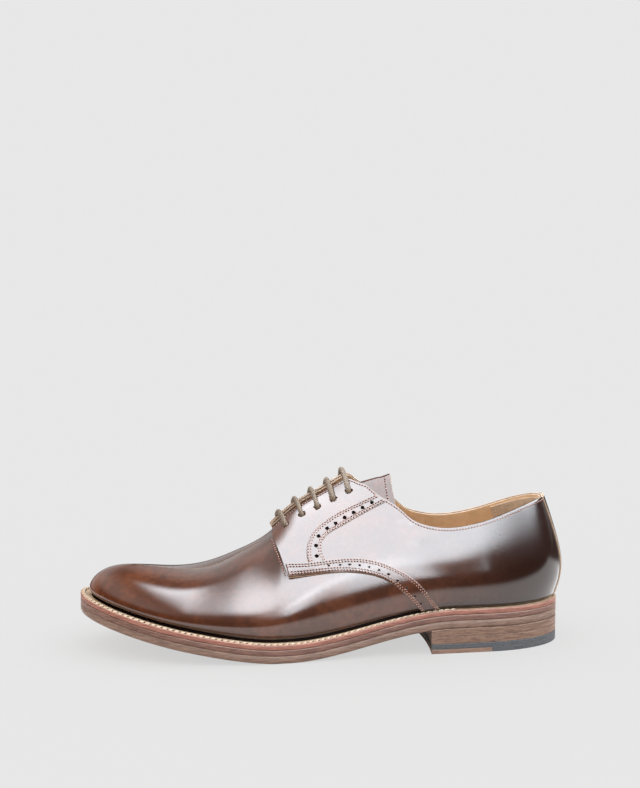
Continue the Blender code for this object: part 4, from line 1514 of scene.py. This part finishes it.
SOLE_STEPS = 200
WELT_ROW_END = 70.0
WELT_ROW_INSET = 2.25
BREAST_REACH = 40
HEEL_SEAM = 0.1


def outline_loop(kind, inset, height, steps=SOLE_STEPS):
    """Points round the sole, lateral side from the toe to the heel and back up the medial side."""
    t = np.sort(np.append(np.linspace(0, 1, steps + 1), [place_at(BALL_BACK), place_at(BALL_FRONT)]))
    rows = []
    for side, places in (("lateral", t), ("medial", t[::-1])):
        depth = column(INSET, "inset", station_along(places)) + inset if kind == "upper" else inset
        station, across, _ = sole_edge(side, places, depth)
        rows.append(np.stack([station, across, height(station)], -1))
    lateral, medial = rows
    return np.concatenate([lateral, medial[1:-1]])


def swept(name, base, rows, materials, ring=False):
    """A sole layer from rows of (outline, inset, rise over its base, material up to the next row)."""
    loops = [outline_loop(kind, inset, above(base, rise)) for kind, inset, rise, _ in rows]
    count = len(loops[0])
    faces = ring_faces(len(loops), count, closed=ring)
    slots = [rows[i // count][3] for i in range(len(faces))]
    if not ring:
        for row, slot in ((0, 0), (len(loops) - 1, rows[-1][3])):
            for i in range(count // 2):
                across = dict.fromkeys([i, i + 1, (count - i - 1) % count, (count - i) % count])
                faces.append([row * count + k for k in across])
                slots.append(slot)
    obj = mesh_object(name, np.concatenate(loops), faces, materials, slots)
    faced_out(obj)
    obj.data.set_sharp_from_angle(angle=math.radians(45))
    return obj


def above(base, rise):
    return lambda station: base(station) + rise


def sole_layers():
    """Outsole, midsole, stitched welt, a near-black line painted as the shade in the crevice where the upper
    meets it, and insole.
    """
    top = OUTSOLE_THICKNESS + 0.2
    rows = [
        ("sole", 3.0, 0.0, 0),
        ("sole", 1.1, 0.02, 1),
        ("sole", 0.5, 0.35, 1),
        ("sole", 0.12, 0.9, 1),
        ("sole", 0.0, 1.6, 1),
        ("sole", 0.0, top - 0.75, 1),
        ("sole", 0.15, top - 0.55, 2),
        ("sole", 0.15, top - 0.12, 1),
        ("sole", 0.6, top, 1),
    ]
    outsole = swept("outsole_leather", sole_bottom, rows, (SOLE_UNDER, OUTSOLE_EDGE, LIGHT_LINE))
    finished(outsole, "outsole", "outsole")
    top = MIDSOLE_THICKNESS + 0.2
    rows = [
        ("sole", 0.6, 0.0, 0),
        ("sole", 0.10, 0.2, 0),
        ("sole", 0.0, 0.6, 0),
        ("sole", 0.0, top - 0.6, 1),
        ("sole", 0.12, top - 0.25, 0),
        ("sole", 0.6, top, 0),
    ]
    midsole = swept("midsole_leather", midsole_bottom, rows, (MIDSOLE_EDGE, LIGHT_LINE))
    finished(midsole, "edge", "midsole")
    top = WELT_THICKNESS
    rows = [
        ("sole", 0.5, 0.0, 0),
        ("sole", 0.05, 0.3, 0),
        ("sole", 0.0, 1.0, 0),
        ("sole", 0.0, top - 0.8, 0),
        ("sole", 0.12, top - 0.3, 0),
        ("sole", 0.5, top, 1),
        ("sole", 1.5, top, 1),
        ("sole", 1.9, top - 0.35, 1),
        ("sole", 2.6, top - 0.35, 1),
        ("sole", 3.0, top, 1),
        ("upper", 3.2, top + 0.1, 0),
        ("upper", 3.2, 0.0, 0),
    ]
    welt = swept("welt_leather", welt_bottom, rows, (WELT_EDGE, WELT_TOP), ring=True)
    finished(welt, "welt", "welt")
    # A near-black strip in the crevice between the upper and the welt: painted shade
    rows = [
        ("upper", 2.6, top + 0.1, 0),
        ("upper", 0.5, top + 0.12, 0),
        ("upper", 0.45, top + 1.0, 0),
        ("upper", 0.9, top + 1.4, 0),
        ("upper", 2.6, top + 1.4, 0),
    ]
    finished(swept("feather_line_painted_shade", welt_bottom, rows, (SHADE_BLACK,), ring=True), "welt")
    top = INSOLE_THICKNESS
    rows = [("upper", 4.9, 0.0, 0), ("upper", 3.4, top, 0), ("upper", 7.0, top + 0.25, 0)]
    finished(swept("insole_leather", welt_bottom, rows, (INSOLE,)), "insole", "insole")


def welt_stitches():
    """Slanted stitches in the welt's groove, round the toe from one side of the heel to the other."""
    rows = []
    for side in SIGN:
        t = np.linspace(0.0, float(place_at(WELT_ROW_END)), 320)
        station, across, _ = sole_edge(side, t, WELT_ROW_INSET)
        points = np.stack([station, across, welt_bottom(station) + WELT_THICKNESS + 0.02], -1)
        rows.append((points, np.tile([0.0, 0.0, 1.0], (len(t), 1))))
    finished(stitch_rows("welt_stitches", rows, WELT_STITCH, WELT_THREAD, WELT_STITCH_SLANT), "welt")


def breast_face(across):
    """Station of the hollowed, slanted breast at a distance across the shoe."""
    share = across / BREAST_REACH
    return BREAST_STATION - BREAST_HOLLOW * (1 - share**2) + BREAST_SLANT * (share + 0.8)


def breast_station(side):
    """Station where the breast meets the outline of one side."""
    station = BREAST_STATION
    for _ in range(8):
        station = breast_face(SIGN[side] * half_width(side, station))
    return float(station)


def heel_loop(inset, height, front=None):
    """Points round the heel and back along its hollowed breast, or along a straight front."""
    rows = []
    for side in SIGN:
        start = breast_station(side) if front is None else front
        t = np.linspace(float(place_at(start)), 1.0, 90)
        station, across, _ = sole_edge(side, t, inset)
        rows.append(np.stack([station, across], -1))
    lateral, medial = rows
    loop = np.concatenate([lateral, medial[::-1][1:]])
    across = np.linspace(loop[-1][1], loop[0][1], 24)[1:-1]
    face = breast_face(across) - inset if front is None else np.full_like(across, front)
    loop = np.concatenate([loop, np.stack([face, across], -1)])
    return np.column_stack([loop, height(loop[:, 0])])


def heel_layer(name, low, high, material, radius=0.25, front=None):
    """One layer of the heel between two height functions, with softened corners."""
    rows = ((radius, low), (0.0, above(low, radius)), (0.0, above(high, -radius)), (radius, high))
    loops = [heel_loop(inset, height, front) for inset, height in rows]
    count = len(loops[0])
    faces = ring_faces(len(loops), count) + end_caps(len(loops), count)
    obj = mesh_object(name, np.concatenate(loops), faces, (material,))
    faced_out(obj)
    obj.data.set_sharp_from_angle(angle=math.radians(40))
    return obj


def level(height):
    return lambda station: np.full_like(station, height)


def heel_stack():
    """Stacked lifts, rubber top piece and leather tip."""
    lifts = {
        "heel_lift_upper": (LIFT_HEIGHT, above(sole_bottom, -0.05)),
        "heel_lift_lower": (RUBBER_HEIGHT, level(LIFT_HEIGHT)),
    }
    for node, (low, high) in lifts.items():
        finished(heel_layer(node + "_leather", level(low + HEEL_SEAM), high, HEEL_STACK), "lift", node)
    rubber = heel_layer("heel_rubber_layer", level(TIP_HEIGHT + HEEL_SEAM), level(RUBBER_HEIGHT), RUBBER)
    finished(rubber, "rubber", "heel_top_piece")
    back = heel_layer("heel_rubber_back", level(0.0), level(TIP_HEIGHT + 0.35), RUBBER, 0.3, TIP_STATION)
    finished(back, "rubber", "heel_top_piece")
    tip = heel_layer("heel_tip_leather", level(0.0), level(TIP_HEIGHT), HEEL_TIP)
    cut = mesh_object("tip_cut", *block((-20, TIP_STATION + HEEL_SEAM), (-70, 70), (-10, 20)))
    carve(tip, cut)
    bpy.data.objects.remove(cut)
    finished(tip, "lift", "heel_tip")


def block(stations, across, heights):
    """Points and faces of a plain box used as a cutter."""
    points = [(s, y, z) for s in stations[::-1] for y in across for z in heights]
    faces = [(0, 1, 3, 2), (4, 6, 7, 5), (0, 4, 5, 1), (2, 3, 7, 6), (0, 2, 6, 4), (1, 5, 7, 3)]
    return points, faces


# Stage

CAMERA_PLACE = (-0.136911, -1.739622, 0.486553)
CAMERA_AIM = (0.076241, 0.979988, -0.183875)
CAMERA_LENS = 129.095


def camera():
    """Camera at the photograph's angle to the shoe."""
    data = bpy.data.cameras.new("camera")
    data.sensor_width = 36
    data.lens = CAMERA_LENS
    obj = link(bpy.data.objects.new("camera", data))
    obj.location = CAMERA_PLACE
    obj.rotation_euler = Vector(CAMERA_AIM).to_track_quat("-Z", "Y").to_euler()
    bpy.context.scene.camera = obj


FLOOR_COLOUR = 0.63
FLOOR_REFLECTED = 0.04
FLOOR_GLOW = 0.585
FLOOR_SHADED = 0.17
FLOOR_BRIGHT_REACH = (0.11, 0.23)
FLOOR_NEAR = 1.5
FLOOR_HALF = 30000


def either(tree, share, first, second):
    """One value or another, by a share that is 0 or 1."""
    return add(tree, "ShaderNodeMix", {0: share, 2: first, 3: second}, data_type="FLOAT").outputs[0]


def floor():
    """Plain pale floor, which polished leather reflects only close to the shoe."""
    made, tree, shader = principled("pale_floor", 0.9, specular=0.0)
    place = add(tree, "ShaderNodeNewGeometry").outputs["Position"]
    beside = calc(tree, "ABSOLUTE", add(tree, "ShaderNodeSeparateXYZ", {0: place}).outputs["Y"])
    mirrored = ramp(tree, beside, *FLOOR_BRIGHT_REACH, FLOOR_NEAR, FLOOR_REFLECTED)
    polished = add(tree, "ShaderNodeLightPath").outputs["Is Glossy Ray"]
    grey = either(tree, polished, FLOOR_COLOUR, mirrored)
    direct = add(tree, "ShaderNodeLightPath").outputs["Is Camera Ray"]
    seen = either(tree, direct, grey, FLOOR_SHADED)
    tree.links.new(seen, shader.inputs["Base Color"])
    shader.inputs["Emission Color"].default_value = (1, 1, 1, 1)
    tree.links.new(calc(tree, "MULTIPLY", direct, FLOOR_GLOW), shader.inputs["Emission Strength"])
    half = FLOOR_HALF
    corners = [(-half, -half, 0), (-half, half, 0), (half, half, 0), (half, -half, 0)]
    mesh_object("floor", corners, [(3, 2, 1, 0)], (made,))


# Soft boxes over and before the shoe, seen only in reflections, as corners (along, across) in metres. Each
# hangs a little above the one before, because lights at one height would hide each other
SOFT_BOX_HEIGHT = 0.30
SOFT_BOX_STEP = 0.004
SOFT_BOXES = {
    "soft_box_over": (
        (-0.13, 0.09), (-0.125, -0.08), (-0.115, -0.30), (-0.005, -0.53), (0.05, -0.63),
        (0.20, -0.61), (0.45, -0.52), (0.75, -0.40), (0.95, -0.20), (0.95, 0.09),
    ),
    "soft_box_front": ((0.03, -0.60), (0.36, -1.62), (0.44, -1.62), (0.165, -0.58)),
}
SOFT_BOX_FADE = 0.04
SOFT_BOX_BRIGHT = 12.3
SOFT_BOX_COLOUR = (0.92, 0.985, 1.05)

# Even light on matt surfaces, and the dim room with a pale backdrop that polished ones reflect
SKY_LOW = 0.75
SKY_HIGH = 1.45
ROOM_BRIGHT = 0.02
CEILING_BRIGHT = 0.9
BACKDROP_BRIGHT = 0.65
BACKDROP_TURN = 120.0


def soft_box(name, corners, height):
    """A soft box as an area light whose glow fades towards each of its edges."""
    low = np.min(corners, axis=0) - SOFT_BOX_FADE
    high = np.max(corners, axis=0) + SOFT_BOX_FADE
    data = bpy.data.lights.new(name, "AREA")
    data.shape = "RECTANGLE"
    data.size, data.size_y = high - low
    data.energy = SOFT_BOX_BRIGHT * math.pi * data.size * data.size_y
    data.color = SOFT_BOX_COLOUR
    data.use_nodes = True
    tree = data.node_tree
    place = add(tree, "ShaderNodeNewGeometry").outputs["Position"]
    glow = 1.0
    for (x, y), (next_x, next_y) in zip(corners, corners[1:] + corners[:1]):
        inward = Vector((y - next_y, next_x - x, 0)).normalized()
        inner = add(tree, "ShaderNodeVectorMath", {0: place, 1: (x, y, 0)}, operation="SUBTRACT").outputs[0]
        depth = add(tree, "ShaderNodeVectorMath", {0: inner, 1: inward}, operation="DOT_PRODUCT")
        edge = ramp(tree, depth.outputs["Value"], -SOFT_BOX_FADE, SOFT_BOX_FADE)
        glow = calc(tree, "MULTIPLY", edge, glow)
    tree.links.new(glow, tree.nodes["Emission"].inputs["Strength"])
    obj = link(bpy.data.objects.new(name, data))
    obj.location = (*((low + high) / 2), height)
    obj.visible_camera = False
    obj.visible_diffuse = False


def studio():
    """Even studio light on matt surfaces; polished ones reflect a dim room and a pale backdrop."""
    world = bpy.data.worlds.new("studio")
    bpy.context.scene.world = world
    world.use_nodes = True
    tree = world.node_tree
    split = add(tree, "ShaderNodeSeparateXYZ", {0: add(tree, "ShaderNodeTexCoord").outputs["Generated"]})
    turn = calc(tree, "ARCTAN2", split.outputs["X"], calc(tree, "MULTIPLY", split.outputs["Y"], -1.0))
    rise = split.outputs["Z"]
    sky = ramp(tree, rise, 0.0, 0.9, SKY_LOW, SKY_HIGH)
    aside = math.radians(BACKDROP_TURN)
    behind = ramp(tree, calc(tree, "ABSOLUTE", turn), aside - 0.4, aside + 0.4)
    backdrop = calc(tree, "MULTIPLY", behind, ramp(tree, rise, 0.5, 0.85, BACKDROP_BRIGHT, 0.0))
    ahead = ramp(tree, split.outputs["X"], 0.0, -0.5)
    ceiling = calc(tree, "MULTIPLY", ahead, ramp(tree, rise, 0.4, 0.75, 0.0, CEILING_BRIGHT))
    room = calc(tree, "ADD", calc(tree, "ADD", backdrop, ceiling), ROOM_BRIGHT)
    polished = add(tree, "ShaderNodeLightPath").outputs["Is Glossy Ray"]
    seen = either(tree, polished, sky, room)
    tree.links.new(seen, tree.nodes["Background"].inputs["Color"])
    bpy.context.scene.view_settings.view_transform = "Standard"


def main():
    camera()
    floor()
    studio()
    for step, (name, corners) in enumerate(SOFT_BOXES.items()):
        soft_box(name, corners, SOFT_BOX_HEIGHT + SOFT_BOX_STEP * step)
    vamp_panel()
    quarter_panels()
    back_strip()
    heel_grip()
    brogue_bands()
    quarter_seams()
    tongue()
    lace()
    sole_layers()
    welt_stitches()
    heel_stack()


main()
